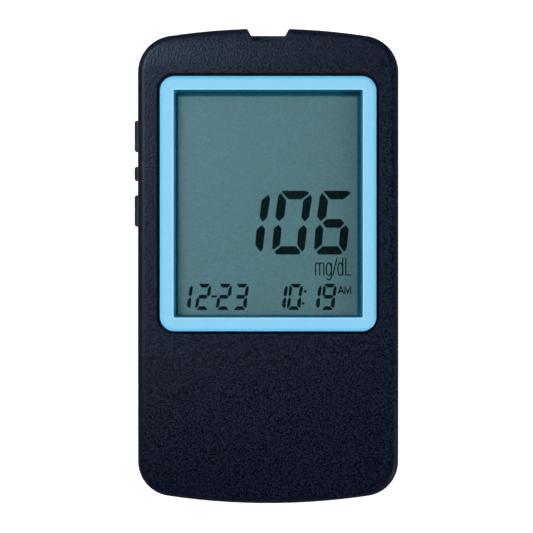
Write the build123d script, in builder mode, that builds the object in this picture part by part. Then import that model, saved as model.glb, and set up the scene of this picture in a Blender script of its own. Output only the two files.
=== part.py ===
from build123d import *
import os
from math import asin, degrees

# A blood glucose meter with a spoken readout, as an assembly of its separate pieces.
#
# Millimetres. The meter lies on its back: X runs across it, +Y points to the test strip port
# and +Z comes out of the display. The origin is on the back face, in the middle of the outline.
# The case's width, length and thickness follow from what it holds, from the inside outwards.

# ---------------------------------------------------------------- driving dimensions

# Case shell
wall = 1.8
top_end_radius = 142.0
bottom_end_radius = 145.0
top_corner_radius = 7.9
bottom_corner_radius = 7.5
front_edge_radius = 1.6
back_edge_radius = 2.5
top_crown_radius = 32.0
bottom_crown_radius = 200.0
flat_above_bezel = 1.9
flat_below_bezel = 0.8
parting_height = 9.0
seam_chamfer = 0.25
least_edge_radius = 0.2
wall_bond = 0.45
lip_height = 1.0
lip_thickness = 0.85
lip_root = 1.0
shell_clearance = 0.1

# Batteries, size AAA, lying across the case
battery_diameter = 10.5
battery_length = 44.5
battery_nub_diameter = 3.8
battery_nub_length = 0.8
battery_edge_radius = 0.4
battery_gap = 0.3
bay_clearance = 0.25
bay_end_margin = 5.65
tub_wall = 1.2
tub_side_gap = 0.6
tub_front_gap = 0.2

# Battery contacts, bent from sheet
contact_thickness = 0.3
contact_size = 8.0
contact_spring_length = 3.7
contact_spring_width = 5.0
contact_tail_width = 1.0
contact_foot_length = 2.4
contact_foot_width = 1.3
contact_foot_lap = 1.1

# Battery door, its tabs and its latch
door_thickness = 1.6
door_overlap = 0.8
door_lower_corner_radius = 3.5
door_upper_corner_radius = 2.0
door_clearance = 0.15
ledge_gap = 0.1
ledge_thickness = 0.8
ledge_width = 1.2
opening_end_margin = 0.15
door_rib_height = 2.0
door_rib_thickness = 0.8
door_rib_inset = 4.0
tab_width = 6.0
tab_spacing = 18.0
tab_reach = 1.1
tab_root = 1.8
tab_thickness = 1.0
tab_clearance = 0.3
latch_width = 9.0
latch_length = 4.7
latch_thickness = 1.2
latch_recess = 0.25
latch_travel_gap = 0.9
latch_hook_height = 0.9
latch_hook_grip = 0.35
latch_hook_root = 1.3
catch_headroom = 0.9
latch_ridge_count = 4
latch_ridge_pitch = 0.9
latch_ridge_size = 0.35
latch_ridge_depth = 0.2

# Bezel ring and display window
bezel_width = 47.0
bezel_length = 55.3
bezel_rim = 3.1
bezel_corner_radius = 3.4
bezel_mouth_radius = 0.6
bezel_draw_in = 0.5
bezel_proud = 0.1
bezel_dish = 0.25
bezel_crest = 0.2
bezel_slope = 0.55
bezel_groove = 0.35
bezel_edge_radius = 0.12
bezel_mouth_edge_radius = 0.2
bezel_depth = 1.1
bezel_seat_rim = 1.3
window_thickness = 1.0
window_border = 2.25
window_clearance = 0.1
window_ledge = 0.8
view_clearance = 0.1

# Display, from the front down
gasket_thickness = 0.5
gasket_width = 1.6
polariser_thickness = 0.2
polariser_margin = 0.4
glass_thickness = 1.1
glass_border = 2.3
rear_glass_end_border = 1.05
contact_ledge = 2.3
reflector_thickness = 0.2
lcd_clearance = 0.2
holder_wall = 0.9
holder_shelf = 1.2
contact_strip_height = 3.7
contact_strip_width = 1.8
contact_strip_margin = 1.3
holder_peg_diameter = 1.6
holder_peg_length = 3.0
holder_peg_spacing_x = 36.0
holder_peg_spacing_y = 36.0
peg_clearance = 0.1

# Circuit board and what is on it
board_thickness = 1.2
board_side_gap = 1.9
board_end_gap = 0.5
board_post_diameter = 3.0
lower_post_x = 16.0
lower_post_margin = 10.2
upper_post_x = 20.5
upper_post_drop = 6.5
controller_size = 10.0
controller_height = 1.4
speech_chip_width = 5.3
speech_chip_length = 7.6
speech_chip_height = 1.7
chip_chamfer = 0.2
chip_x = 12.0
chip_rise = 15.1
crystal_length = 6.0
crystal_diameter = 2.0
capacitor_diameter = 4.0
capacitor_height = 3.2
capacitor_pitch = 6.0
capacitor_count = 3

# Screws and their bosses
screw_diameter = 2.0
screw_head_diameter = 3.4
screw_head_height = 1.4
screw_head_depth = 2.6
screw_cross_width = 0.5
screw_cross_length = 2.2
screw_cross_depth = 0.7
screw_bite = 6.0
screw_clearance = 0.15
pilot_clearance = 0.05
pilot_end_gap = 0.4
boss_diameter = 5.0
tube_diameter = 5.4
boss_gap = 0.5
tub_boss_gap = 2.0
boss_to_top_end = 6.1
top_boss_inset = 8.5
bottom_boss_inset = 6.2
board_boss_clearance = 0.2

# Side buttons and their switches
button_proud = 0.86
button_width = 3.6
long_button_length = 6.8
short_button_length = 3.1
up_button_offset = 14.6
set_button_offset = 6.5
down_button_offset = -1.5
button_clearance = 0.2
button_corner_radius = 0.5
flange_thickness = 0.9
flange_rim = 0.8
plunger_width = 1.8
plunger_height = 1.2
plunger_entry = 0.4
plunger_clearance = 0.1
switch_gap = 2.3
switch_width = 6.0
short_switch_width = 3.4
switch_depth = 3.6
switch_height = 3.0
switch_axis_drop = 1.4
button_travel = 0.4

# Test strip port
notch_mouth = 9.0
notch_waist = 7.7
notch_floor = 6.2
notch_waist_depth = 1.25
notch_depth = 2.6
notch_corner = 0.25
notch_rim_radius = 0.3
notch_wall = 1.6
notch_block_width = 12.0
strip_slot_width = 6.6
strip_slot_height = 1.0
strip_slot_drop = 1.5
guide_width = 9.2
guide_length = 3.9
guide_cover = 1.4
guide_lip_depth = 1.3
guide_lip_thickness = 3.0
guide_nose_radius = 0.4
guide_clearance = 0.1
connector_width = 12.0
connector_length = 7.8
connector_height = 3.2
connector_gap = 0.2
connector_slot_depth = 6.3
leaf_width = 0.7
leaf_thickness = 0.15
leaf_pitch = 1.6
leaf_count = 3
leaf_tail = 1.2
leaf_setback = 0.8

# Speaker in the back
speaker_drop = 1.4
speaker_diameter = 20.0
speaker_depth = 2.0
speaker_skin = 0.6
speaker_rim = 1.2
magnet_diameter = 11.0
magnet_height = 2.4
magnet_chamfer = 0.3
foam_thickness = 0.6
foam_width = 1.6
diaphragm_thickness = 0.25
diaphragm_rise = 0.9
diaphragm_cap_radius = 3.0
seat_ring_clearance = 0.2
seat_ring_wall = 1.0
seat_ring_height = 2.2
grille_hole_diameter = 1.3
grille_inner_radius = 2.6
grille_outer_radius = 5.2
grille_inner_count = 6
grille_outer_count = 12
speaker_contact_offset = 7.6
speaker_contact_width = 1.6
speaker_terminal_height = 0.5

# Label on the back
label_width = 34.0
label_length = 17.0
label_corner_radius = 1.5
label_thickness = 0.15
label_recess = 0.25
label_clearance = 0.2
label_gap = 2.6

# ---------------------------------------------------------------- the case, worked out

battery_pitch = battery_diameter + battery_gap
battery_radius = battery_diameter / 2

# Across: the contacts stand just off the battery's ends.
contact_plane = (battery_length + contact_spring_length) / 2
bay_half_width = contact_plane + contact_thickness
inner_half_width = bay_half_width + tub_wall + tub_side_gap
case_width = 2 * (inner_half_width + wall)

# The display's parts in plan, from the ring inwards and the glass outwards.
mouth_width = bezel_width - 2 * bezel_rim
mouth_length = bezel_length - 2 * bezel_rim
bezel_slope_end = bezel_crest + bezel_slope
view_width = mouth_width - 2 * bezel_draw_in + 2 * view_clearance
view_length = mouth_length - 2 * bezel_draw_in + 2 * view_clearance
window_width = view_width + 2 * window_border
window_length = view_length + 2 * window_border
lcd_width = view_width + 2 * glass_border
rear_glass_length = view_length + 2 * rear_glass_end_border
front_glass_length = rear_glass_length + 2 * contact_ledge
contact_strip_length = lcd_width - 2 * contact_strip_margin
holder_width = lcd_width + 2 * (lcd_clearance + holder_wall)
holder_length = front_glass_length + 2 * (lcd_clearance + holder_wall)

# Along: bottom end, batteries, tub wall, bosses, display holder, bosses, top end.
boss_reach = boss_gap + boss_diameter / 2
tub_to_boss = tub_boss_gap + boss_diameter / 2
bay_length = 2 * battery_diameter + battery_gap
case_length = (
    bay_end_margin + bay_length + bay_clearance + tub_wall
    + tub_to_boss + boss_reach + holder_length + boss_reach + boss_to_top_end
)
top_end = case_length / 2
bottom_end = -case_length / 2
lower_battery_y = bottom_end + bay_end_margin + battery_radius
upper_battery_y = lower_battery_y + battery_pitch
bay_top = upper_battery_y + battery_radius + bay_clearance
tub_top = bay_top + tub_wall
bottom_boss_y = tub_top + tub_to_boss
display_y = bottom_boss_y + boss_reach + holder_length / 2
top_boss_y = display_y + holder_length / 2 + boss_reach
top_crown_start = display_y + bezel_length / 2 + flat_above_bezel
bottom_crown_start = display_y - bezel_length / 2 - flat_below_bezel

# Up: the board stands over the switches' axis, and the display on the board.
board_bottom = parting_height + switch_axis_drop
board_top = board_bottom + board_thickness
boss_split = (board_bottom + board_top) / 2
front_glass_bottom = board_top + contact_strip_height
rear_glass_bottom = front_glass_bottom - glass_thickness
shelf_top = rear_glass_bottom - reflector_thickness
front_glass_top = front_glass_bottom + glass_thickness
polariser_top = front_glass_top + polariser_thickness
ledge_bottom = polariser_top + gasket_thickness
window_bottom = ledge_bottom + window_ledge
bezel_floor = window_bottom + window_thickness
case_thickness = bezel_floor + bezel_depth
inner_front = case_thickness - wall

# The battery bay.
ledge_bottom_height = door_thickness + ledge_gap
ledge_top = ledge_bottom_height + ledge_thickness
battery_height = ledge_top + opening_end_margin + battery_radius
bay_ceiling = battery_height + battery_radius + bay_clearance
tub_ceiling = bay_ceiling + tub_wall
opening_half_width = bay_half_width - ledge_width
opening_lower = lower_battery_y - battery_radius - opening_end_margin
opening_upper = upper_battery_y + battery_radius + opening_end_margin
door_half_width = opening_half_width + door_overlap
door_lower = opening_lower - door_overlap
door_upper = opening_upper + door_overlap

board_lower = tub_top + board_end_gap
lower_post_y = board_lower + lower_post_margin
upper_post_y = top_boss_y - upper_post_drop
chip_y = display_y + chip_rise
speaker_y = display_y - speaker_drop

screw_places = [
    (-case_width / 2 + top_boss_inset, top_boss_y),
    (case_width / 2 - top_boss_inset, top_boss_y),
    (-case_width / 2 + bottom_boss_inset, bottom_boss_y),
    (case_width / 2 - bottom_boss_inset, bottom_boss_y),
]
buttons = {
    "up": (display_y + up_button_offset, long_button_length, switch_width),
    "set": (display_y + set_button_offset, short_button_length, short_switch_width),
    "down": (display_y + down_button_offset, long_button_length, switch_width),
}

os.makedirs("parts", exist_ok=True)


# ---------------------------------------------------------------- shared shapes


def block(x, y, z, mode=Mode.ADD):
    """A box between a low and a high plane along each axis, in the current part."""
    with Locations(((x[0] + x[1]) / 2, (y[0] + y[1]) / 2, (z[0] + z[1]) / 2)):
        Box(x[1] - x[0], y[1] - y[0], z[1] - z[0], mode=mode)


def post(x, y, diameter, z, mode=Mode.ADD):
    """An upright cylinder between two heights, in the current part."""
    with Locations((x, y, z[0])):
        base = (Align.CENTER, Align.CENTER, Align.MIN)
        Cylinder(diameter / 2, z[1] - z[0], align=base, mode=mode)


def outline(inset=0.0):
    """The case seen from the front: straight sides, bowed ends, round corners, drawn in by inset."""
    with BuildSketch() as shape:
        Rectangle(case_width, case_length)
        with Locations((0, top_end - top_end_radius)):
            Circle(top_end_radius, mode=Mode.INTERSECT)
        with Locations((0, bottom_end + bottom_end_radius)):
            Circle(bottom_end_radius, mode=Mode.INTERSECT)
        fillet(shape.vertices().group_by(Axis.Y)[-1], top_corner_radius)
        fillet(shape.vertices().group_by(Axis.Y)[0], bottom_corner_radius)
        if inset:
            offset(amount=-inset)
    return shape.sketch


def case_block(inset=0.0):
    """The whole case as one solid, drawn in by inset, with its crowned front and round edges."""
    reach = case_length / 2
    top_arc = degrees(asin((reach - top_crown_start + wall) / top_crown_radius))
    bottom_arc = degrees(asin((reach + bottom_crown_start + wall) / bottom_crown_radius))
    with BuildPart() as body:
        with BuildSketch(Plane.XY.offset(inset)):
            add(outline(inset))
        extrude(amount=case_thickness - 2 * inset)
        # The side view: flat over the display, falling away in an arc towards each end.
        with BuildSketch(Plane.YZ):
            with BuildLine():
                flat = Line(
                    (bottom_crown_start, case_thickness - inset),
                    (top_crown_start, case_thickness - inset),
                )
                top = JernArc(flat @ 1, (1, 0), top_crown_radius - inset, -top_arc)
                bottom = JernArc(flat @ 0, (-1, 0), bottom_crown_radius - inset, bottom_arc)
                Polyline(top @ 1, ((top @ 1).X, 0), ((bottom @ 1).X, 0), bottom @ 1)
            make_face()
        extrude(amount=case_width, both=True, mode=Mode.INTERSECT)
        front_rim = body.edges().filter_by(Axis.X, reverse=True)
        above_walls = (parting_height + case_thickness) / 2
        front_rim = front_rim.filter_by_position(Axis.Z, above_walls, case_thickness)
        fillet(front_rim, max(front_edge_radius - inset, least_edge_radius))
        back_rim = body.faces().sort_by(Axis.Z)[0].edges()
        fillet(back_rim, max(back_edge_radius - inset, least_edge_radius))
    return body.part


def door_outline(grow=0.0):
    """The battery door's plate seen from the back, grown by a clearance."""
    with BuildSketch() as plate:
        with Locations((0, (door_lower + door_upper) / 2)):
            Rectangle(2 * door_half_width, door_upper - door_lower)
        fillet(plate.vertices().group_by(Axis.Y)[0], door_lower_corner_radius)
        fillet(plate.vertices().group_by(Axis.Y)[-1], door_upper_corner_radius)
        if grow:
            offset(amount=grow)
    return plate.sketch


def notch_outline(inset=0.0):
    """The strip port's notch seen from the front: cut-back corners, two slants a side, then the floor."""
    beyond = top_end + notch_depth
    side_slope = (notch_mouth - notch_waist) / 2 / notch_waist_depth
    corner_x = notch_mouth / 2 - notch_corner * side_slope
    flare_x = notch_mouth / 2 + notch_corner
    with BuildSketch() as notch:
        with BuildLine():
            Polyline(
                (-flare_x, beyond),
                (-flare_x, top_end),
                (-corner_x, top_end - notch_corner),
                (-notch_waist / 2, top_end - notch_waist_depth),
                (-notch_floor / 2, top_end - notch_depth),
                (notch_floor / 2, top_end - notch_depth),
                (notch_waist / 2, top_end - notch_waist_depth),
                (corner_x, top_end - notch_corner),
                (flare_x, top_end),
                (flare_x, beyond),
                close=True,
            )
        make_face()
        if inset:
            offset(amount=-inset)
    return notch.sketch


def finish_part(builder, name):
    """Label a finished piece and write it under its own name."""
    builder.part.label = name
    export_step(builder.part, f"parts/{name}.step")


# The case is used drawn in by the wall, and the two shells share these solids.
whole_case = case_block()
case_space = case_block(wall)
notch_floor_y = top_end - notch_depth
strip_slot_axis = board_bottom - strip_slot_drop
strip_slot_z = (strip_slot_axis - strip_slot_height / 2, strip_slot_axis + strip_slot_height / 2)
guide_roof = min(strip_slot_z[1] + guide_cover, board_bottom - 2 * guide_clearance)
guide_z = (strip_slot_z[0] - guide_cover, guide_roof)
guide_back = notch_floor_y - guide_clearance - guide_length
slot_half_height = button_width / 2 + button_clearance

# ---------------------------------------------------------------- covers

with BuildPart() as front_cover:
    add(whole_case)
    split(bisect_by=Plane.XY.offset(parting_height), keep=Keep.TOP)
    chamfer(front_cover.faces().sort_by(Axis.Z)[0].edges(), seam_chamfer)
    add(case_space, mode=Mode.SUBTRACT)
    # Rebate for the rear cover's lip.
    with BuildSketch(Plane.XY.offset(parting_height)):
        add(outline(wall - lip_thickness - shell_clearance))
    extrude(amount=lip_height + shell_clearance, mode=Mode.SUBTRACT)
    # Thicker wall that carries the bezel ring and the window.
    with BuildSketch(Plane.XY.offset(ledge_bottom)):
        with Locations((0, display_y)):
            seat_width = bezel_width + 2 * (bezel_groove + bezel_seat_rim)
            seat_length = bezel_length + 2 * (bezel_groove + bezel_seat_rim)
            RectangleRounded(seat_width, seat_length, bezel_corner_radius + bezel_groove)
    extrude(amount=inner_front + wall_bond - ledge_bottom)
    # Bosses that take the screws.
    for place in screw_places:
        post(*place, boss_diameter, (boss_split, inner_front + wall_bond))
    # Walls round the strip port, above the lip.
    block(
        (-notch_block_width / 2, notch_block_width / 2),
        (notch_floor_y - notch_wall, top_end - wall + shell_clearance),
        (parting_height + lip_height + shell_clearance, inner_front + wall_bond),
    )
    # Recess of the bezel ring, pocket of the window and the opening below it.
    with BuildSketch(Plane.XY.offset(bezel_floor)):
        with Locations((0, display_y)):
            RectangleRounded(
                bezel_width + 2 * bezel_groove,
                bezel_length + 2 * bezel_groove,
                bezel_corner_radius + bezel_groove,
            )
    extrude(amount=bezel_depth, mode=Mode.SUBTRACT)
    block(
        (-window_width / 2 - window_clearance, window_width / 2 + window_clearance),
        (
            display_y - window_length / 2 - window_clearance,
            display_y + window_length / 2 + window_clearance,
        ),
        (window_bottom, bezel_floor),
        mode=Mode.SUBTRACT,
    )
    block(
        (-view_width / 2, view_width / 2),
        (display_y - view_length / 2, display_y + view_length / 2),
        (ledge_bottom, window_bottom),
        mode=Mode.SUBTRACT,
    )
    for place in screw_places:
        pilot = screw_diameter + 2 * pilot_clearance
        post(*place, pilot, (boss_split, boss_split + screw_bite + pilot_end_gap), mode=Mode.SUBTRACT)
    # Notch of the strip port, and the pocket behind it for the guide.
    with BuildSketch(Plane.XY.offset(parting_height)):
        add(notch_outline())
    extrude(amount=case_thickness, mode=Mode.SUBTRACT)
    notch_half = notch_mouth / 2 + notch_corner
    notch_rim = front_cover.edges().filter_by_position(Axis.X, -notch_half, notch_half)
    notch_rim = notch_rim.filter_by_position(Axis.Y, notch_floor_y - notch_rim_radius, top_end)
    notch_rim = notch_rim.filter_by_position(Axis.Z, inner_front - front_edge_radius, case_thickness)
    fillet(notch_rim, notch_rim_radius)
    block(
        (-guide_width / 2 - guide_clearance, guide_width / 2 + guide_clearance),
        (guide_back - guide_clearance, notch_floor_y),
        (parting_height, guide_z[1] + guide_clearance),
        mode=Mode.SUBTRACT,
    )
    # The front half of each button's slot.
    for y, length, _ in buttons.values():
        block(
            (-case_width, -inner_half_width + shell_clearance),
            (y - length / 2 - button_clearance, y + length / 2 + button_clearance),
            (parting_height, parting_height + slot_half_height),
            mode=Mode.SUBTRACT,
        )
finish_part(front_cover, "front_cover")

with BuildPart() as rear_cover:
    add(whole_case)
    split(bisect_by=Plane.XY.offset(parting_height), keep=Keep.BOTTOM)
    chamfer(rear_cover.faces().sort_by(Axis.Z)[-1].edges(), seam_chamfer)
    add(case_space, mode=Mode.SUBTRACT)
    # Lip that stands up inside the front cover.
    with BuildSketch(Plane.XY.offset(parting_height - lip_root)):
        add(outline(wall - lip_thickness))
        add(outline(wall), mode=Mode.SUBTRACT)
    extrude(amount=lip_root + lip_height)
    # Battery tub: joined to the shell below the seam, clear of the front cover above it.
    for low, high, inset in (
        (wall - wall_bond, parting_height, wall - wall_bond),
        (parting_height - lip_root, tub_ceiling, wall + tub_front_gap),
    ):
        with BuildSketch(Plane.XY.offset(low)):
            add(outline(inset))
            with Locations((0, tub_top - case_length / 2)):
                Rectangle(2 * (bay_half_width + tub_wall), case_length, mode=Mode.INTERSECT)
        extrude(amount=high - low)
    # Tubes for the screws, posts for the board and the seat of the speaker.
    for place in screw_places:
        post(*place, tube_diameter, (wall - wall_bond, boss_split))
    post_z = (wall - wall_bond, board_bottom)
    for side in (-1, 1):
        post(side * lower_post_x, lower_post_y, board_post_diameter, post_z)
        post(side * upper_post_x, upper_post_y, board_post_diameter, post_z)
    seat_diameter = speaker_diameter + 2 * seat_ring_clearance
    seat_z = (wall - wall_bond, wall + seat_ring_height)
    post(0, speaker_y, seat_diameter + 2 * seat_ring_wall, seat_z)
    post(0, speaker_y, seat_diameter, (wall, wall + seat_ring_height), mode=Mode.SUBTRACT)
    # Walls round the strip port, as high as the lip.
    block(
        (-notch_block_width / 2, notch_block_width / 2),
        (notch_floor_y - notch_wall, top_end - wall + shell_clearance),
        (wall - wall_bond, parting_height + lip_height),
    )
    # The batteries' space, the door's opening and the rebate that the door lies in.
    with BuildSketch(Plane.XY.offset(ledge_top)):
        add(outline(wall + tub_wall))
        with Locations((0, bay_top - case_length / 2)):
            Rectangle(2 * bay_half_width, case_length, mode=Mode.INTERSECT)
    extrude(amount=bay_ceiling - ledge_top, mode=Mode.SUBTRACT)
    block(
        (-opening_half_width, opening_half_width),
        (opening_lower, opening_upper),
        (0, ledge_top),
        mode=Mode.SUBTRACT,
    )
    with BuildSketch(Plane.XY):
        add(door_outline(door_clearance))
    extrude(amount=ledge_bottom_height, mode=Mode.SUBTRACT)
    # Pockets for the door's tabs, and the catch window for its latch.
    tab_half = tab_width / 2 + tab_clearance
    for x in (-tab_spacing / 2, tab_spacing / 2):
        block(
            (x - tab_half, x + tab_half),
            (door_lower - tab_reach - tab_clearance, opening_lower),
            (ledge_bottom_height, ledge_top),
            mode=Mode.SUBTRACT,
        )
    block(
        (-latch_width / 2 - tab_clearance, latch_width / 2 + tab_clearance),
        (opening_upper, tub_top),
        (ledge_bottom_height, ledge_top + catch_headroom),
        mode=Mode.SUBTRACT,
    )
    # Slots that let the contacts' tails out of the tub.
    for low, high in (
        (board_bottom - contact_tail_width - shell_clearance, board_bottom + shell_clearance),
        (bay_ceiling - contact_tail_width - bay_clearance, bay_ceiling),
    ):
        block(
            (-bay_half_width - shell_clearance, -contact_plane + shell_clearance),
            (bay_top, tub_top),
            (low, high),
            mode=Mode.SUBTRACT,
        )
    # Screw holes, with the heads sunk deep in their tubes.
    for place in screw_places:
        post(*place, screw_diameter + 2 * screw_clearance, (0, boss_split), mode=Mode.SUBTRACT)
        head_bore = screw_head_diameter + 4 * screw_clearance
        post(*place, head_bore, (0, screw_head_depth + screw_head_height), mode=Mode.SUBTRACT)
    # Notch of the strip port, and the pocket behind it for the guide.
    with BuildSketch():
        add(notch_outline())
    extrude(amount=parting_height + lip_height, mode=Mode.SUBTRACT)
    block(
        (-guide_width / 2 - guide_clearance, guide_width / 2 + guide_clearance),
        (guide_back - guide_clearance, notch_floor_y),
        (guide_z[0] - guide_clearance, parting_height + lip_height),
        mode=Mode.SUBTRACT,
    )
    # The rear half of each button's slot, which the lip gives way to as well.
    for y, length, _ in buttons.values():
        block(
            (-case_width, -inner_half_width + shell_clearance),
            (y - length / 2 - button_clearance, y + length / 2 + button_clearance),
            (parting_height - slot_half_height, parting_height + lip_height),
            mode=Mode.SUBTRACT,
        )
    # Speaker grille: one hole in the middle and two rings of holes.
    with Locations((0, speaker_y, wall / 2)):
        Cylinder(grille_hole_diameter / 2, wall, mode=Mode.SUBTRACT)
        with PolarLocations(grille_inner_radius, grille_inner_count):
            Cylinder(grille_hole_diameter / 2, wall, mode=Mode.SUBTRACT)
        with PolarLocations(grille_outer_radius, grille_outer_count):
            Cylinder(grille_hole_diameter / 2, wall, mode=Mode.SUBTRACT)
    # Shallow recess of the label.
    label_y = door_upper + label_gap + label_length / 2
    with BuildSketch(Plane.XY):
        with Locations((0, label_y)):
            RectangleRounded(
                label_width + 2 * label_clearance,
                label_length + 2 * label_clearance,
                label_corner_radius + label_clearance,
            )
    extrude(amount=label_recess, mode=Mode.SUBTRACT)
finish_part(rear_cover, "rear_cover")

with BuildPart() as rear_label:
    with BuildSketch(Plane.XY.offset(label_recess - label_thickness)):
        with Locations((0, label_y)):
            RectangleRounded(label_width, label_length, label_corner_radius)
    extrude(amount=label_thickness)
finish_part(rear_label, "rear_label")

with BuildPart() as case_screws:
    head_top = screw_head_depth + screw_head_height
    for place in screw_places:
        post(*place, screw_diameter, (head_top, boss_split + screw_bite))
        post(*place, screw_head_diameter, (screw_head_depth, head_top))
    for x, y in screw_places:
        cross_z = (screw_head_depth, screw_head_depth + screw_cross_depth)
        long = (-screw_cross_length / 2, screw_cross_length / 2)
        short = (-screw_cross_width / 2, screw_cross_width / 2)
        for across, along in ((long, short), (short, long)):
            block(
                (x + across[0], x + across[1]),
                (y + along[0], y + along[1]),
                cross_z,
                mode=Mode.SUBTRACT,
            )
finish_part(case_screws, "case_screws")

with BuildPart() as strip_port_guide:
    block((-guide_width / 2, guide_width / 2), (guide_back, notch_floor_y - guide_clearance), guide_z)
    # Lip that shows in the notch, just short of the end of the case.
    lip_top = strip_slot_z[0]
    lip_end = top_end - guide_lip_depth
    with BuildSketch(Plane.XY.offset(lip_top - guide_lip_thickness)):
        add(notch_outline(guide_clearance))
        with Locations((0, lip_end - case_length / 2)):
            Rectangle(guide_width, case_length, mode=Mode.INTERSECT)
    extrude(amount=guide_lip_thickness)
    block(
        (-notch_floor / 2 + guide_clearance, notch_floor / 2 - guide_clearance),
        (notch_floor_y - 2 * guide_clearance, notch_floor_y + 2 * guide_clearance),
        (guide_z[0], lip_top),
    )
    nose = strip_port_guide.faces().sort_by(Axis.Y)[-1].edges().filter_by(Axis.X)
    fillet(nose, guide_nose_radius)
    block(
        (-strip_slot_width / 2, strip_slot_width / 2),
        (guide_back, notch_floor_y),
        strip_slot_z,
        mode=Mode.SUBTRACT,
    )
finish_part(strip_port_guide, "strip_port_guide")

# ---------------------------------------------------------------- display

with BuildPart() as display_bezel:
    ring_height = bezel_depth + bezel_proud
    with BuildSketch(Plane.XY.offset(bezel_floor)):
        with Locations((0, display_y)):
            RectangleRounded(bezel_width, bezel_length, bezel_corner_radius)
    extrude(amount=ring_height)
    # The mouth narrows towards the window, so that its walls slope inwards.
    with BuildSketch(Plane.XY.offset(bezel_floor)):
        with Locations((0, display_y)):
            RectangleRounded(
                mouth_width - 2 * bezel_draw_in,
                mouth_length - 2 * bezel_draw_in,
                bezel_mouth_radius,
            )
    with BuildSketch(Plane.XY.offset(bezel_floor + ring_height)):
        with Locations((0, display_y)):
            RectangleRounded(mouth_width, mouth_length, bezel_mouth_radius)
    loft(mode=Mode.SUBTRACT)
    # The ring is dished: its outer crest stands higher than the flat round the mouth.
    with BuildSketch(Plane.XY.offset(bezel_floor + ring_height - bezel_dish)):
        with Locations((0, display_y)):
            RectangleRounded(
                bezel_width - 2 * bezel_slope_end,
                bezel_length - 2 * bezel_slope_end,
                bezel_corner_radius - bezel_slope_end,
            )
    with BuildSketch(Plane.XY.offset(bezel_floor + ring_height)):
        with Locations((0, display_y)):
            RectangleRounded(
                bezel_width - 2 * bezel_crest,
                bezel_length - 2 * bezel_crest,
                bezel_corner_radius - bezel_crest,
            )
    loft(mode=Mode.SUBTRACT)
    level_faces = display_bezel.faces().filter_by(Axis.Z).sort_by(Axis.Z)
    crest_edges = level_faces[-1].outer_wire().edges()
    mouth_edges = level_faces[-2].inner_wires()[0].edges()
    fillet(crest_edges, bezel_edge_radius)
    fillet(mouth_edges, bezel_mouth_edge_radius)
finish_part(display_bezel, "display_bezel")


def display_plate(width, length, z, opening=None):
    """A flat layer of the display between two heights, with an opening in it if it is a frame."""
    with BuildPart() as layer:
        block((-width / 2, width / 2), (display_y - length / 2, display_y + length / 2), z)
        if opening:
            block(
                (-opening[0] / 2, opening[0] / 2),
                (display_y - opening[1] / 2, display_y + opening[1] / 2),
                z,
                mode=Mode.SUBTRACT,
            )
    return layer


polariser_size = (lcd_width - 2 * polariser_margin, front_glass_length - 2 * contact_ledge)
gasket_opening = (view_width + 2 * view_clearance, view_length + 2 * view_clearance)
gasket_size = (
    min(gasket_opening[0] + 2 * gasket_width, polariser_size[0]),
    min(gasket_opening[1] + 2 * gasket_width, polariser_size[1]),
)

display_window = display_plate(window_width, window_length, (window_bottom, bezel_floor))
finish_part(display_window, "display_window")

display_gasket = display_plate(*gasket_size, (polariser_top, ledge_bottom), gasket_opening)
finish_part(display_gasket, "display_gasket")

lcd_polariser = display_plate(*polariser_size, (front_glass_top, polariser_top))
finish_part(lcd_polariser, "lcd_polariser")

lcd_front_glass = display_plate(lcd_width, front_glass_length, (front_glass_bottom, front_glass_top))
finish_part(lcd_front_glass, "lcd_front_glass")

lcd_rear_glass = display_plate(lcd_width, rear_glass_length, (rear_glass_bottom, front_glass_bottom))
finish_part(lcd_rear_glass, "lcd_rear_glass")

lcd_reflector = display_plate(
    lcd_width - 2 * polariser_margin,
    rear_glass_length - 2 * polariser_margin,
    (shelf_top, rear_glass_bottom),
)
finish_part(lcd_reflector, "lcd_reflector")

peg_places = [
    (x * holder_peg_spacing_x / 2, display_y + y * holder_peg_spacing_y / 2)
    for x in (-1, 1)
    for y in (-1, 1)
]

with BuildPart() as lcd_holder:
    pocket_width = lcd_width + 2 * lcd_clearance
    pocket_length = front_glass_length + 2 * lcd_clearance
    block(
        (-holder_width / 2, holder_width / 2),
        (display_y - holder_length / 2, display_y + holder_length / 2),
        (board_top, front_glass_top),
    )
    block(
        (-pocket_width / 2, pocket_width / 2),
        (display_y - pocket_length / 2, display_y + pocket_length / 2),
        (board_top, front_glass_top),
        mode=Mode.SUBTRACT,
    )
    # Shelf under the rear glass, which leaves a slot for a contact strip at each end.
    block(
        (-pocket_width / 2, pocket_width / 2),
        (display_y - rear_glass_length / 2, display_y + rear_glass_length / 2),
        (shelf_top - holder_shelf, shelf_top),
    )
    for place in peg_places:
        post(*place, holder_peg_diameter, (board_top - holder_peg_length, shelf_top - holder_shelf))
finish_part(lcd_holder, "lcd_holder")

for name, side in (("upper_contact_strip", 1), ("lower_contact_strip", -1)):
    with BuildPart() as contact_strip:
        strip_y = display_y + side * (rear_glass_length + contact_ledge) / 2
        block(
            (-contact_strip_length / 2, contact_strip_length / 2),
            (strip_y - contact_strip_width / 2, strip_y + contact_strip_width / 2),
            (board_top, front_glass_bottom),
        )
    finish_part(contact_strip, name)

# ---------------------------------------------------------------- circuit board

board_inset = wall + board_side_gap
boss_room = tube_diameter / 2 + board_boss_clearance

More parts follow.
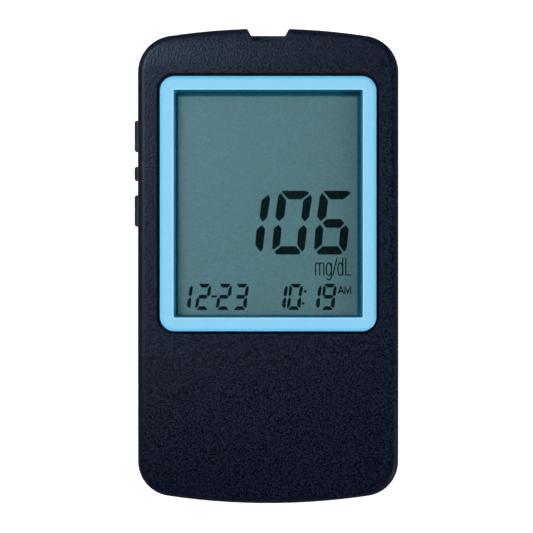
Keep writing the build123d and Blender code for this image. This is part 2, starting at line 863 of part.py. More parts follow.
with BuildPart() as circuit_board:
    with BuildSketch(Plane.XY.offset(board_bottom)):
        add(outline(board_inset))
        with Locations((0, board_lower + case_length / 2)):
            Rectangle(case_width, case_length, mode=Mode.INTERSECT)
    extrude(amount=board_thickness)
    # The four corners give way to the screw bosses, and the top end to the strip port.
    for x, y in screw_places:
        side = 1 if x > 0 else -1
        end = 1 if y > display_y else -1
        corner_x = sorted((x - side * boss_room, side * case_width))
        corner_y = sorted((y - end * boss_room, end * case_length))
        block(corner_x, corner_y, (board_bottom, board_top), mode=Mode.SUBTRACT)
    port_half = notch_block_width / 2 + board_boss_clearance
    port_back = notch_floor_y - notch_wall - board_boss_clearance
    block((-port_half, port_half), (port_back, top_end), (board_bottom, board_top), mode=Mode.SUBTRACT)
    for place in peg_places:
        hole = holder_peg_diameter + 2 * peg_clearance
        post(*place, hole, (board_bottom, board_top), mode=Mode.SUBTRACT)
finish_part(circuit_board, "circuit_board")

with BuildPart() as microcontroller:
    block(
        (chip_x - controller_size / 2, chip_x + controller_size / 2),
        (chip_y - controller_size / 2, chip_y + controller_size / 2),
        (board_bottom - controller_height, board_bottom),
    )
    lower_rim = microcontroller.faces().sort_by(Axis.Z)[0].edges()
    chamfer(lower_rim, chip_chamfer)
finish_part(microcontroller, "microcontroller")

with BuildPart() as speech_chip:
    block(
        (-chip_x - speech_chip_width / 2, -chip_x + speech_chip_width / 2),
        (chip_y - speech_chip_length / 2, chip_y + speech_chip_length / 2),
        (board_bottom - speech_chip_height, board_bottom),
    )
    lower_rim = speech_chip.faces().sort_by(Axis.Z)[0].edges()
    chamfer(lower_rim, chip_chamfer)
finish_part(speech_chip, "speech_chip")

with BuildPart() as clock_crystal:
    crystal_y = chip_y - controller_size / 2 - crystal_diameter
    crystal_axis = board_bottom - crystal_diameter / 2
    with Locations((chip_x, crystal_y, crystal_axis)):
        Cylinder(crystal_diameter / 2, crystal_length, rotation=(0, 90, 0))
finish_part(clock_crystal, "clock_crystal")

with BuildPart() as board_capacitors:
    capacitor_z = (board_bottom - capacitor_height, board_bottom)
    for index in range(capacitor_count):
        x = (index - (capacitor_count - 1) / 2) * capacitor_pitch
        post(x, lower_post_y, capacitor_diameter, capacitor_z)
finish_part(board_capacitors, "board_capacitors")

# ---------------------------------------------------------------- strip connector

connector_front = guide_back - connector_gap
connector_back = connector_front - connector_length
leaf_places = [(index - (leaf_count - 1) / 2) * leaf_pitch for index in range(leaf_count)]

with BuildPart() as strip_connector:
    block(
        (-connector_width / 2, connector_width / 2),
        (connector_back, connector_front),
        (board_bottom - connector_height, board_bottom),
    )
    block(
        (-strip_slot_width / 2, strip_slot_width / 2),
        (connector_front - connector_slot_depth, connector_front),
        strip_slot_z,
        mode=Mode.SUBTRACT,
    )
finish_part(strip_connector, "strip_connector")

with BuildPart() as strip_contacts:
    for x in leaf_places:
        leaf_x = (x - leaf_width / 2, x + leaf_width / 2)
        slot_back = connector_front - connector_slot_depth
        leaf_z = (strip_slot_z[0], strip_slot_z[0] + leaf_thickness)
        block(leaf_x, (slot_back, connector_front - leaf_setback), leaf_z)
        tail_z = (board_bottom - 2 * leaf_thickness, board_bottom)
        block(leaf_x, (connector_back - leaf_tail, connector_back), tail_z)
finish_part(strip_contacts, "strip_contacts")

# ---------------------------------------------------------------- buttons and switches

flange_outer = -inner_half_width + shell_clearance
flange_inner = flange_outer + flange_thickness
switch_face = -inner_half_width + switch_gap

for name, (y, length, housing_width) in buttons.items():
    with BuildPart() as button:
        block(
            (-case_width / 2 - button_proud, flange_outer + flange_thickness / 2),
            (y - length / 2, y + length / 2),
            (parting_height - button_width / 2, parting_height + button_width / 2),
        )
        cap_face = button.faces().sort_by(Axis.X)[0]
        fillet(cap_face.edges(), button_corner_radius)
        block(
            (flange_outer, flange_inner),
            (y - length / 2 - flange_rim, y + length / 2 + flange_rim),
            (
                parting_height - button_width / 2 - flange_rim,
                parting_height + button_width / 2 + flange_rim,
            ),
        )
    finish_part(button, f"{name}_button")

    with BuildPart() as plunger:
        block(
            (flange_inner, switch_face + plunger_entry),
            (y - plunger_width / 2, y + plunger_width / 2),
            (parting_height - plunger_height / 2, parting_height + plunger_height / 2),
        )
    finish_part(plunger, f"{name}_plunger")

    with BuildPart() as switch:
        block(
            (switch_face, switch_face + switch_depth),
            (y - housing_width / 2, y + housing_width / 2),
            (board_bottom - switch_height, board_bottom),
        )
        bore_half_width = plunger_width / 2 + plunger_clearance
        bore_half_height = plunger_height / 2 + plunger_clearance
        block(
            (switch_face, switch_face + plunger_entry + button_travel + plunger_clearance),
            (y - bore_half_width, y + bore_half_width),
            (parting_height - bore_half_height, parting_height + bore_half_height),
            mode=Mode.SUBTRACT,
        )
    finish_part(switch, f"{name}_switch")

# ---------------------------------------------------------------- speaker

foam_top = wall + foam_thickness
frame_top = foam_top + speaker_depth
magnet_top = frame_top + magnet_height

with BuildPart() as speaker_gasket:
    post(0, speaker_y, speaker_diameter, (wall, foam_top))
    hole = speaker_diameter - 2 * foam_width
    post(0, speaker_y, hole, (wall, foam_top), mode=Mode.SUBTRACT)
finish_part(speaker_gasket, "speaker_gasket")

with BuildPart() as speaker_frame:
    post(0, speaker_y, speaker_diameter, (foam_top, frame_top))
    cup = speaker_diameter - 2 * speaker_rim
    post(0, speaker_y, cup, (foam_top, frame_top - speaker_skin), mode=Mode.SUBTRACT)
finish_part(speaker_frame, "speaker_frame")

with BuildPart() as speaker_diaphragm:
    # A shallow cone that rises into the frame, hung on the frame's rim, with a cap in its middle.
    skin_low = foam_top + diaphragm_thickness
    with BuildSketch(Plane.XZ.offset(-speaker_y)):
        with BuildLine():
            Polyline(
                (0, foam_top + diaphragm_rise),
                (diaphragm_cap_radius, foam_top + diaphragm_rise),
                (cup / 2 - speaker_rim, foam_top),
                (cup / 2, foam_top),
                (cup / 2, skin_low),
                (cup / 2 - speaker_rim, skin_low),
                (diaphragm_cap_radius, skin_low + diaphragm_rise),
                (0, skin_low + diaphragm_rise),
                close=True,
            )
        make_face()
    revolve(axis=Axis((0, speaker_y, 0), (0, 0, 1)))
finish_part(speaker_diaphragm, "speaker_diaphragm")

with BuildPart() as speaker_magnet:
    post(0, speaker_y, magnet_diameter, (frame_top, magnet_top))
    chamfer(speaker_magnet.faces().sort_by(Axis.Z)[-1].edges(), magnet_chamfer)
finish_part(speaker_magnet, "speaker_magnet")

with BuildPart() as speaker_contacts:
    # On each side, a terminal on the frame and a bent leaf from it to the board.
    terminal_top = frame_top + speaker_terminal_height
    half_leaf = contact_thickness / 2
    for side in (-1, 1):
        x = side * speaker_contact_offset
        block(
            (x - speaker_contact_width / 2, x + speaker_contact_width / 2),
            (speaker_y - speaker_contact_width, speaker_y + speaker_contact_width),
            (frame_top, terminal_top),
        )
        with BuildSketch(Plane.XZ.offset(-speaker_y - speaker_contact_width / 2)):
            with BuildLine() as leaf:
                Polyline(
                    (x - side * speaker_contact_width / 2, terminal_top + half_leaf),
                    (x + side * speaker_contact_width / 2, terminal_top + half_leaf),
                    (x - side * speaker_contact_width / 2, board_bottom - half_leaf),
                    (x + side * speaker_contact_width / 2, board_bottom - half_leaf),
                )
            trace(leaf.line, contact_thickness)
        extrude(amount=speaker_contact_width)
finish_part(speaker_contacts, "speaker_contacts")

# ---------------------------------------------------------------- power


def battery(y, positive_side):
    """A cell along X whose nub points to one side and touches the contact there."""
    body_length = battery_length - battery_nub_length
    nub_tip = positive_side * contact_plane
    body_middle = nub_tip - positive_side * (battery_nub_length + body_length / 2)
    nub_middle = nub_tip - positive_side * battery_nub_length / 2
    with BuildPart() as cell:
        with Locations((body_middle, y, battery_height)):
            Cylinder(battery_radius, body_length, rotation=(0, 90, 0))
        fillet(cell.edges().filter_by(GeomType.CIRCLE), battery_edge_radius)
        with Locations((nub_middle, y, battery_height)):
            Cylinder(battery_nub_diameter / 2, battery_nub_length, rotation=(0, 90, 0))
    return cell


def contact_plate(side, lower_y, upper_y):
    """A flat contact against one end wall of the bay, clipped to the bay's rounded outline."""
    with BuildPart() as plate:
        with BuildSketch(Plane.XY.offset(battery_height - contact_size / 2)):
            with Locations((side * (contact_plane + contact_thickness / 2), (lower_y + upper_y) / 2)):
                Rectangle(contact_thickness, upper_y - lower_y)
            add(outline(wall + tub_wall), mode=Mode.INTERSECT)
        extrude(amount=contact_size)
    return plate.part


def contact_spring(side, y):
    """A bowed leaf that presses on the flat end of the cell whose axis is at y."""
    root = side * (contact_plane + contact_thickness / 2)
    crest = side * (contact_plane - contact_spring_length + contact_thickness / 2)
    half = contact_spring_width / 2
    with BuildPart() as spring:
        with BuildSketch(Plane.XY.offset(battery_height - half)):
            with BuildLine() as leaf:
                Polyline(
                    (root, y - half),
                    (crest, y - half / 3),
                    (crest, y + half / 3),
                    (root - side * contact_spring_length / 2, y + half),
                )
            trace(leaf.line, contact_thickness)
        extrude(amount=contact_spring_width)
    return spring.part


upper_battery = battery(upper_battery_y, 1)
finish_part(upper_battery, "upper_battery")

lower_battery = battery(lower_battery_y, -1)
finish_part(lower_battery, "lower_battery")

half_contact = contact_size / 2
tail_x = (-bay_half_width, -contact_plane)
foot_front = board_lower + contact_foot_lap
foot_x = (-bay_half_width, -case_width / 2 + bottom_boss_inset + boss_room + contact_foot_length)

with BuildPart() as battery_bridge:
    add(contact_plate(1, lower_battery_y - half_contact, upper_battery_y + half_contact))
    add(contact_spring(1, lower_battery_y))
finish_part(battery_bridge, "battery_bridge")

with BuildPart() as negative_terminal:
    add(contact_plate(-1, upper_battery_y - half_contact, upper_battery_y + half_contact))
    add(contact_spring(-1, upper_battery_y))
    # Tail through the tub's wall, and a foot under the board.
    block(tail_x, (upper_battery_y, foot_front), (board_bottom - contact_tail_width, board_bottom))
    block(
        foot_x,
        (foot_front - contact_foot_width, foot_front),
        (board_bottom - contact_thickness, board_bottom),
    )
finish_part(negative_terminal, "negative_terminal")

with BuildPart() as positive_terminal:
    add(contact_plate(-1, lower_battery_y - half_contact, lower_battery_y + half_contact))
    # Tail along the top of the bay, over the other terminal, and a foot on the board.
    tail_z = (bay_ceiling - contact_tail_width - shell_clearance, bay_ceiling - shell_clearance)
    block(tail_x, (lower_battery_y, foot_front), tail_z)
    block(tail_x, (lower_battery_y, lower_battery_y + half_contact), (battery_height, tail_z[1]))
    block(tail_x, (foot_front - contact_foot_width, foot_front), (board_top, tail_z[1]))
    block(
        foot_x,
        (foot_front - contact_foot_width, foot_front),
        (board_top, board_top + contact_thickness),
    )
finish_part(positive_terminal, "positive_terminal")

# ---------------------------------------------------------------- battery door

latch_upper = door_upper - ledge_gap
latch_lower = latch_upper - latch_length
latch_cut = (latch_lower - latch_travel_gap, door_upper)

with BuildPart() as battery_cover:
    with BuildSketch():
        add(door_outline())
    extrude(amount=door_thickness)
    # Cut-out for the latch tongue.
    block(
        (-latch_width / 2 - tab_clearance, latch_width / 2 + tab_clearance),
        latch_cut,
        (0, door_thickness),
        mode=Mode.SUBTRACT,
    )
    # Stiffening rib between the cells.
    rib_y = (lower_battery_y + upper_battery_y) / 2
    block(
        (-opening_half_width + door_rib_inset, opening_half_width - door_rib_inset),
        (rib_y - door_rib_thickness / 2, rib_y + door_rib_thickness / 2),
        (door_thickness, door_thickness + door_rib_height),
    )
    # Tabs that hook under the lower lip of the opening.
    tab_bottom = ledge_bottom_height + ledge_gap
    for x in (-tab_spacing / 2, tab_spacing / 2):
        tab_x = (x - tab_width / 2, x + tab_width / 2)
        block(tab_x, (door_lower, door_lower + tab_root), (door_thickness, tab_bottom + tab_thickness))
        block(
            tab_x,
            (door_lower - tab_reach, door_lower + tab_root),
            (tab_bottom, tab_bottom + tab_thickness),
        )
finish_part(battery_cover, "battery_cover")

with BuildPart() as cover_latch:
    pad_top = latch_recess + latch_thickness
    hook_low = ledge_bottom_height + tab_clearance
    hook_high = hook_low + latch_hook_height
    block((-latch_width / 2, latch_width / 2), (latch_lower, latch_upper), (latch_recess, pad_top))
    block(
        (-latch_width / 2, latch_width / 2),
        (latch_upper - latch_hook_root, latch_upper),
        (pad_top, hook_high),
    )
    block(
        (-latch_width / 2, latch_width / 2),
        (latch_upper - latch_hook_root, door_upper + door_clearance + latch_hook_grip),
        (hook_low, hook_high),
    )
    # Grip ridges across the pad.
    for index in range(latch_ridge_count):
        y = latch_lower + (index + 0.5) * latch_ridge_pitch
        block(
            (-latch_width / 2 + latch_ridge_pitch, latch_width / 2 - latch_ridge_pitch),
            (y, y + latch_ridge_size),
            (latch_recess, latch_recess + latch_ridge_depth),
            mode=Mode.SUBTRACT,
        )
finish_part(cover_latch, "cover_latch")

print(f"case {case_width:.2f} x {case_length:.2f} x {case_thickness:.2f} mm, display at y {display_y:.2f}")
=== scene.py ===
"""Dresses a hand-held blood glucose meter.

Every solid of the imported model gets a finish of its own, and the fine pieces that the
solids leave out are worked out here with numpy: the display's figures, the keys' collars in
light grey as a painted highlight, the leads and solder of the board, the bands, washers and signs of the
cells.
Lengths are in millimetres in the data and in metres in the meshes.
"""
import logging
import math
from dataclasses import dataclass
from enum import Enum
from functools import cache

import bpy
import numpy as np
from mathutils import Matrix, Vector


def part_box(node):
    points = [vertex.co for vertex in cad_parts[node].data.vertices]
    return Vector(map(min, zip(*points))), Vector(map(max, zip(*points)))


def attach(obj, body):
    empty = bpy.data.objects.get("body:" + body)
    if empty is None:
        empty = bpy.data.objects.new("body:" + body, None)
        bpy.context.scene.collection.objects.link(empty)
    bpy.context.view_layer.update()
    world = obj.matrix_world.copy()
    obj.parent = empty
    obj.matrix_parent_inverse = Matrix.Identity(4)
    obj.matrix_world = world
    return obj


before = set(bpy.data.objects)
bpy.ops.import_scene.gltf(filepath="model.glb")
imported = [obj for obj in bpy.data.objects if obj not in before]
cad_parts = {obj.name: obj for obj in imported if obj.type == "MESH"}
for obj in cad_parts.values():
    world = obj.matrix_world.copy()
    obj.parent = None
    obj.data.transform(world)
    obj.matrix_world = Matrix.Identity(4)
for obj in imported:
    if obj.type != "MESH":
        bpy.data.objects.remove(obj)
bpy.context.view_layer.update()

MM = 0.001
KEY_Z = 9.0  # height of the keys' middle
SOFT_EDGE = math.radians(35)  # a fine piece's edges sharper than this stay sharp
WELD_GAP = 0.000002  # points of a solid that are closer than this, in metres, are one
SQUARE = np.array([[-1, -1], [1, -1], [1, 1], [-1, 1]])
log = logging.getLogger("meter")
Pair = tuple[float, float]
Triple = tuple[float, float, float]
Colour = Triple
Points = np.ndarray
Socket = bpy.types.NodeSocket
Sockets = bpy.types.NodeOutputs


# ---- surfaces


def grid_quads(rows: int, columns: int, loop: bool) -> list[list[int]]:
    """Joins a grid of points, numbered row by row, into four-sided faces.

    Args:
        rows: Number of rows of points.
        columns: Number of points in a row, whose last is joined to its first.
        loop: Joins the last row to the first.

    Returns:
        Four point numbers per face.
    """
    i, j = np.arange(rows if loop else rows - 1)[:, None], np.arange(columns)
    below, right = (i + 1) % rows, (j + 1) % columns
    corners = (i * columns + j, i * columns + right, below * columns + right, below * columns + j)
    return np.stack([c.ravel() for c in corners], axis=1).tolist()


@dataclass
class Surface:
    """Points in millimetres and the faces that join them."""

    points: Points
    faces: list[list[int]]

    def moved(self, x: float = 0.0, y: float = 0.0, z: float = 0.0) -> "Surface":
        """The same surface, shifted."""
        return Surface(self.points + np.array([x, y, z]), self.faces)

    def turned(self, matrix: Points) -> "Surface":
        """The same surface, turned by a 3 x 3 matrix about the origin."""
        return Surface(self.points @ np.asarray(matrix, float).T, self.faces)


def joined(surfaces: list[Surface]) -> Surface:
    """Puts several surfaces in one.

    Args:
        surfaces: The surfaces to put together.

    Returns:
        One surface with all their points and faces.
    """
    starts = np.cumsum([0] + [len(s.points) for s in surfaces])
    faces = [[n + int(start) for n in face] for s, start in zip(surfaces, starts) for face in s.faces]
    return Surface(np.concatenate([s.points for s in surfaces]), faces)


def skin(rings: Points | list[Points], loop: bool = False) -> Surface:
    """A skin over rings of points, each ring joined to the next.

    Args:
        rings: Rings of as many points each, counter-clockwise seen from the last ring.
        loop: Joins the last ring to the first, instead of a cap on both.

    Returns:
        The closed skin.
    """
    count, last = len(rings[0]), (len(rings) - 1) * len(rings[0])
    faces = grid_quads(len(rings), count, loop)
    if not loop:
        faces += [list(range(count))[::-1], list(range(last, last + count))]
    return Surface(np.concatenate(rings), faces)


def at_height(outline: Points, z: float) -> Points:
    """Flat points lifted to one height."""
    return np.column_stack([outline, np.full(len(outline), z)])


def of_length_one(rows: Points) -> Points:
    """Each row's direction, with length 1."""
    return rows / np.linalg.norm(rows, axis=1, keepdims=True)


def round_points(angle: Points) -> Points:
    """The points of a circle of radius 1 at some angles."""
    return np.stack([np.cos(angle), np.sin(angle)], axis=1)


def even_turn(count: int) -> Points:
    """The points of a circle of radius 1 at even angles, all the way round."""
    return round_points(np.linspace(0, 2 * np.pi, count, endpoint=False))


def drawn_in(outline: Points, inset: float) -> Points:
    """An outline moved inwards: each corner goes along the mean of its two edges' normals.

    Args:
        outline: Corners, counter-clockwise, one (x, y) row each.
        inset: How far each edge moves in, or out where it is negative.

    Returns:
        The moved corners.
    """
    corners = np.asarray(outline, float)
    ahead = np.roll(corners, -1, axis=0) - corners
    normal = of_length_one(ahead[:, ::-1] * [-1, 1])
    mean = normal + np.roll(normal, 1, axis=0)
    mean /= np.maximum((mean * normal).sum(axis=1, keepdims=True), 0.5)
    return corners + mean * inset


def plate(outline: Points, low: float, high: float, rim: float = 0.0) -> Surface:
    """A flat plate with an upright edge and a small slope round its top.

    Each ring of points is the outline at one height. The top ring is drawn in by the rim.

    Args:
        outline: Corners, counter-clockwise, one (x, y) row each.
        low: Height of the underside.
        high: Height of the top.
        rim: Width and depth of the slope round the top.

    Returns:
        The closed plate.
    """
    levels = [(low, 0.0), (high - rim, 0.0)] + ([(high, rim)] if rim else [])
    return skin([at_height(drawn_in(outline, inset), z) for z, inset in levels])


def stroke(path: Points, width: float, low: float, high: float, closed: bool = False) -> Surface:
    """A flat line of even width, such as a drawn letter's stroke.

    At each point of the path the two edges stand half the width away along the mean
    normal of the runs before and after it, lengthened so that both runs keep their width.

    Args:
        path: Points of the middle line, one (x, y) row each.
        width: Width of the line.
        low: Height of the underside.
        high: Height of the top.
        closed: Joins the last point to the first.

    Returns:
        The closed line.
    """
    line = np.asarray(path, float)
    runs = of_length_one(np.roll(line, -1, axis=0) - line)
    before = np.roll(runs, 1, axis=0)
    if not closed:
        before[0], runs[-1] = runs[0], runs[-2]
    normal, unit = (runs + before)[:, ::-1] * [-1, 1], runs[:, ::-1] * [-1, 1]
    normal /= np.maximum((normal * unit).sum(axis=1, keepdims=True), 0.35)
    left, right = line + normal * width / 2, line - normal * width / 2
    sides = [(left, high), (right, high), (right, low), (left, low)]
    return skin(np.stack([at_height(side, z) for side, z in sides], axis=1), closed)


def turned_form(profile: Points, turns: int = 32, loop: bool = False) -> Surface:
    """A form turned about the Z axis.

    A point of the profile at radius r and height z is carried round to
    (r cos a, r sin a, z) for even angles a. Where the profile ends on the axis, a fan of
    faces closes it.

    Args:
        profile: One (radius, height) row per point, from the bottom up on the outside.
        turns: Number of points round.
        loop: Joins the profile's last point to its first, as on a washer.

    Returns:
        The turned surface.
    """
    shape = np.asarray(profile, float)
    ring = shape[shape[:, 0] > 0]
    points = np.concatenate([at_height(radius * even_turn(turns), z) for radius, z in ring])
    faces = grid_quads(len(ring), turns, loop)
    k = np.arange(turns)
    for end, start, order in ((0, 0, -1), (-1, (len(ring) - 1) * turns, 1)):
        if shape[end, 0] == 0:
            hub = np.full(turns, len(points))
            points = np.vstack([points, [0, 0, shape[end, 1]]])
            pair = [start + k, start + (k + 1) % turns][::order]
            faces += np.stack([hub, *pair], axis=1).tolist()
    return Surface(points, faces)


def swept(path: Points, width: float, height: float, across: Points, corners: int = 4) -> Surface:
    """A bar or wire carried along a path.

    The section is a rectangle, or an ellipse of more corners. Its width lies along the
    fixed direction across, and its height along the path's normal in each place.

    Args:
        path: Points of the middle line, one (x, y, z) row each.
        width: Size of the section along across.
        height: Size of the section at right angles to it.
        across: Unit vector that the width keeps.
        corners: Number of corners of the section.

    Returns:
        The closed bar.
    """
    line, side = np.asarray(path, float), np.asarray(across, float)
    up = of_length_one(np.cross(side, of_length_one(np.gradient(line, axis=0))))
    section = ((SQUARE if corners == 4 else even_turn(corners)) * [width / 2, height / 2])[::-1]
    return skin(line[:, None] + section[None, :, :1] * side + section[None, :, 1:] * up[:, None])


def arc(centre: Pair, radius: float | Pair, start: float, end: float, steps: int = 9) -> Points:
    """Points of an arc: the centre plus the radii times the cosine and sine of even angles.

    Args:
        centre: Middle of the circle or ellipse.
        radius: One radius, or the two of an ellipse.
        start: First angle, in degrees.
        end: Last angle, in degrees.
        steps: Number of points.

    Returns:
        One (x, y) row per point.
    """
    return round_points(np.radians(np.linspace(start, end, steps))) * radius + centre


def ellipse(centre: Pair, radius: float | Pair) -> Points:
    """The 24 points of a whole circle or ellipse."""
    return arc(centre, radius, 0, 345, 24)


def placed(name: str, data: bpy.types.ID) -> bpy.types.Object:
    """A new object of the scene, at the origin."""
    made = bpy.data.objects.new(name, data)
    bpy.context.collection.objects.link(made)
    return made


def make_piece(name: str, surface: Surface, finish: "Finish", body: str = "case") -> None:
    """Puts a surface into a mesh of the scene, dressed and riding on its body.

    Args:
        name: The piece's name.
        surface: Its points and faces, in millimetres.
        finish: Its finish.
        body: The body that it moves with.
    """
    mesh = bpy.data.meshes.new(name)
    mesh.from_pydata(surface.points * MM, [], surface.faces)
    mesh.validate()
    mesh.shade_smooth()
    mesh.set_sharp_from_angle(angle=SOFT_EDGE)
    mesh.materials.append(finish.material())
    piece = placed(name, mesh)
    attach(piece, body)
    log.info("%s: %d faces on %s, finish %s", name, len(mesh.polygons), body, finish.name)


# ---- finishes


def colour4(colour: Colour | Socket) -> object:
    """A colour with a fourth number, or a socket as it is."""
    return colour if isinstance(colour, Socket) else (*colour, 1.0)


class Bench:
    """Places nodes in one tree and links them, so that a material reads from top to bottom."""

    def __init__(self, tree: bpy.types.NodeTree) -> None:
        """Keeps the tree."""
        self.tree = tree

    def node(self, kind: str, inputs: dict | None = None, **settings: object) -> bpy.types.Node:
        """Adds one node.

        Args:
            kind: The node's type, without its ShaderNode prefix.
            inputs: Sockets by name or number, each with a value or another socket.
            settings: The node's own properties.

        Returns:
            The new node.
        """
        made = self.tree.nodes.new("ShaderNode" + kind)
        for name, value in settings.items():
            setattr(made, name, value)
        self.fill(made, inputs or {})
        return made

    def fill(self, node: bpy.types.Node, inputs: dict) -> None:
        """Gives each named socket of a node its value, or links it to another socket."""
        for name, value in inputs.items():
            if isinstance(value, Socket):
                self.tree.links.new(value, node.inputs[name])
            else:
                node.inputs[name].default_value = value

    def group(self, tree: bpy.types.NodeTree, **inputs: object) -> bpy.types.Node:
        """Places a node group, with its values by name."""
        return self.node("Group", inputs, node_tree=tree)

    def math(self, operation: str, *values: object) -> Socket:
        """The result of one Math node."""
        return self.node("Math", dict(enumerate(values)), operation=operation).outputs[0]

    def times(self, first: object, second: object) -> Socket:
        """The product of two values."""
        return self.math("MULTIPLY", first, second)

    def vector(self, operation: str, *values: object) -> Socket:
        """The result of one Vector Math node: a number for a length or dot product, or a vector."""
        outputs = self.node("VectorMath", dict(enumerate(values)), operation=operation).outputs
        return outputs["Value" if operation in ("LENGTH", "DOT_PRODUCT") else "Vector"]

    def mix(self, factor: object, first: Colour | Socket, second: Colour | Socket) -> Socket:
        """The colour between two colours."""
        ends = {0: factor, 6: colour4(first), 7: colour4(second)}
        return self.node("Mix", ends, data_type="RGBA").outputs[2]

    def spread(
        self, value: Socket, low: float, high: float, to_low: float = 0.0, to_high: float = 1.0
    ) -> Socket:
        """A value carried from one range to another, and held inside it."""
        ends = {0: value, 1: low, 2: high, 3: to_low, 4: to_high}
        return self.node("MapRange", ends, clamp=True).outputs[0]

    def noise(self, place: Socket, scale: object, detail: float = 2.0, roughness: float = 0.5) -> Socket:
        """The value of a noise texture."""
        settings = {"Vector": place, "Scale": scale, "Detail": detail, "Roughness": roughness}
        return self.node("TexNoise", settings).outputs[0]

    def split(self, place: Socket) -> Sockets:
        """The three numbers of a vector, by X, Y and Z."""
        return self.node("SeparateXYZ", {0: place}).outputs


class Effects:
    """The effects that several finishes share, each one node group that is built once."""

    @staticmethod
    def start(name: str, **inputs: float | Triple) -> tuple[Bench, Sockets]:
        """Opens a new group, with a place and further inputs.

        Args:
            name: The group's name.
            inputs: Default value by name.

        Returns:
            The bench and the sockets of the inputs.
        """
        tree = bpy.data.node_groups.new(name, "ShaderNodeTree")
        tree.interface.new_socket("Place", in_out="INPUT", socket_type="NodeSocketVector")
        for label, value in inputs.items():
            kind = "NodeSocketFloat" if isinstance(value, float) else "NodeSocketVector"
            tree.interface.new_socket(label, in_out="INPUT", socket_type=kind).default_value = value
        return Bench(tree), tree.nodes.new("NodeGroupInput").outputs

    @staticmethod
    def end(bench: Bench, **outputs: Socket) -> bpy.types.NodeTree:
        """Gives a group its outputs.

        Args:
            bench: The group's bench.
            outputs: What each output carries, by name.

        Returns:
            The finished group.
        """
        for label, value in outputs.items():
            kind = "NodeSocketVector" if value.type == "VECTOR" else "NodeSocketFloat"
            bench.tree.interface.new_socket(label, in_out="OUTPUT", socket_type=kind)
        bench.fill(bench.tree.nodes.new("NodeGroupOutput"), outputs)
        return bench.tree

    @staticmethod
    @cache
    def grain() -> bpy.types.NodeTree:
        """Spark-eroded grain: fine noise laid over rounded cells, each a pit or a grain.

        Height is the cells' distance field blended with a noise 2.6 times finer. Tone is
        a noise of the cells' size, for the blotches that the eye sees from afar.
        """
        bench, given = Effects.start("fine_grain", Size=0.0004)
        place = given["Place"]
        scale = bench.math("DIVIDE", 1.0, given["Size"])
        cells = bench.node("TexVoronoi", {"Vector": place, "Scale": scale}, feature="SMOOTH_F1")
        fine = bench.noise(place, bench.times(scale, 2.6), 2.0, 0.6)
        blotch = bench.noise(place, scale, 2.0, 0.55)
        pits = bench.spread(cells.outputs["Distance"], 0.1, 0.75)
        height = bench.math("ADD", bench.times(pits, 0.6), bench.times(fine, 0.4))
        return Effects.end(bench, Height=height, Tone=bench.spread(blotch, 0.42, 0.58))

    @staticmethod
    @cache
    def edges() -> bpy.types.NodeTree:
        """Edges for wear and for a painted highlight: how far the normal turns when it is averaged over a
        small radius.

        Mask is 1 on sharp outer edges, broken up by noise; it places worn colour, and on the strip guide a
        painted highlight. Normal is the averaged normal, which catches light along the edge as a real
        moulded corner does.
        """
        bench, given = Effects.start("edge_wear_and_highlight", Radius=0.0002, Break=900.0)
        rounded = bench.node("Bevel", {"Radius": given["Radius"]}, samples=6).outputs[0]
        plain = bench.node("NewGeometry").outputs["Normal"]
        turned = bench.spread(bench.vector("DOT_PRODUCT", rounded, plain), 0.995, 0.86)
        patches = bench.noise(given["Place"], given["Break"], 3.0)
        mask = bench.times(turned, bench.spread(patches, 0.42, 0.6))
        return Effects.end(bench, Mask=mask, Normal=rounded)

    @staticmethod
    @cache
    def dust() -> bpy.types.NodeTree:
        """Dust and handling: Mask is a slow cloud of noise times a fine speckle, each held to 0 to 1."""
        bench, given = Effects.start("dust", Scale=60.0)
        cloud = bench.noise(given["Place"], given["Scale"], 4.0)
        speck = bench.noise(given["Place"], bench.times(given["Scale"], 45.0))
        mask = bench.times(bench.spread(cloud, 0.45, 0.75), bench.spread(speck, 0.5, 0.75))
        return Effects.end(bench, Mask=mask)

    @staticmethod
    @cache
    def brushing() -> bpy.types.NodeTree:
        """Fine lines of rolled or drawn metal: noise that is stretched along one axis."""
        bench, given = Effects.start("brushing", Stretch=(40.0, 4000.0, 4000.0))
        place = bench.vector("MULTIPLY", given["Place"], given["Stretch"])
        return Effects.end(bench, Height=bench.noise(place, 1.0, 3.0, 0.7))


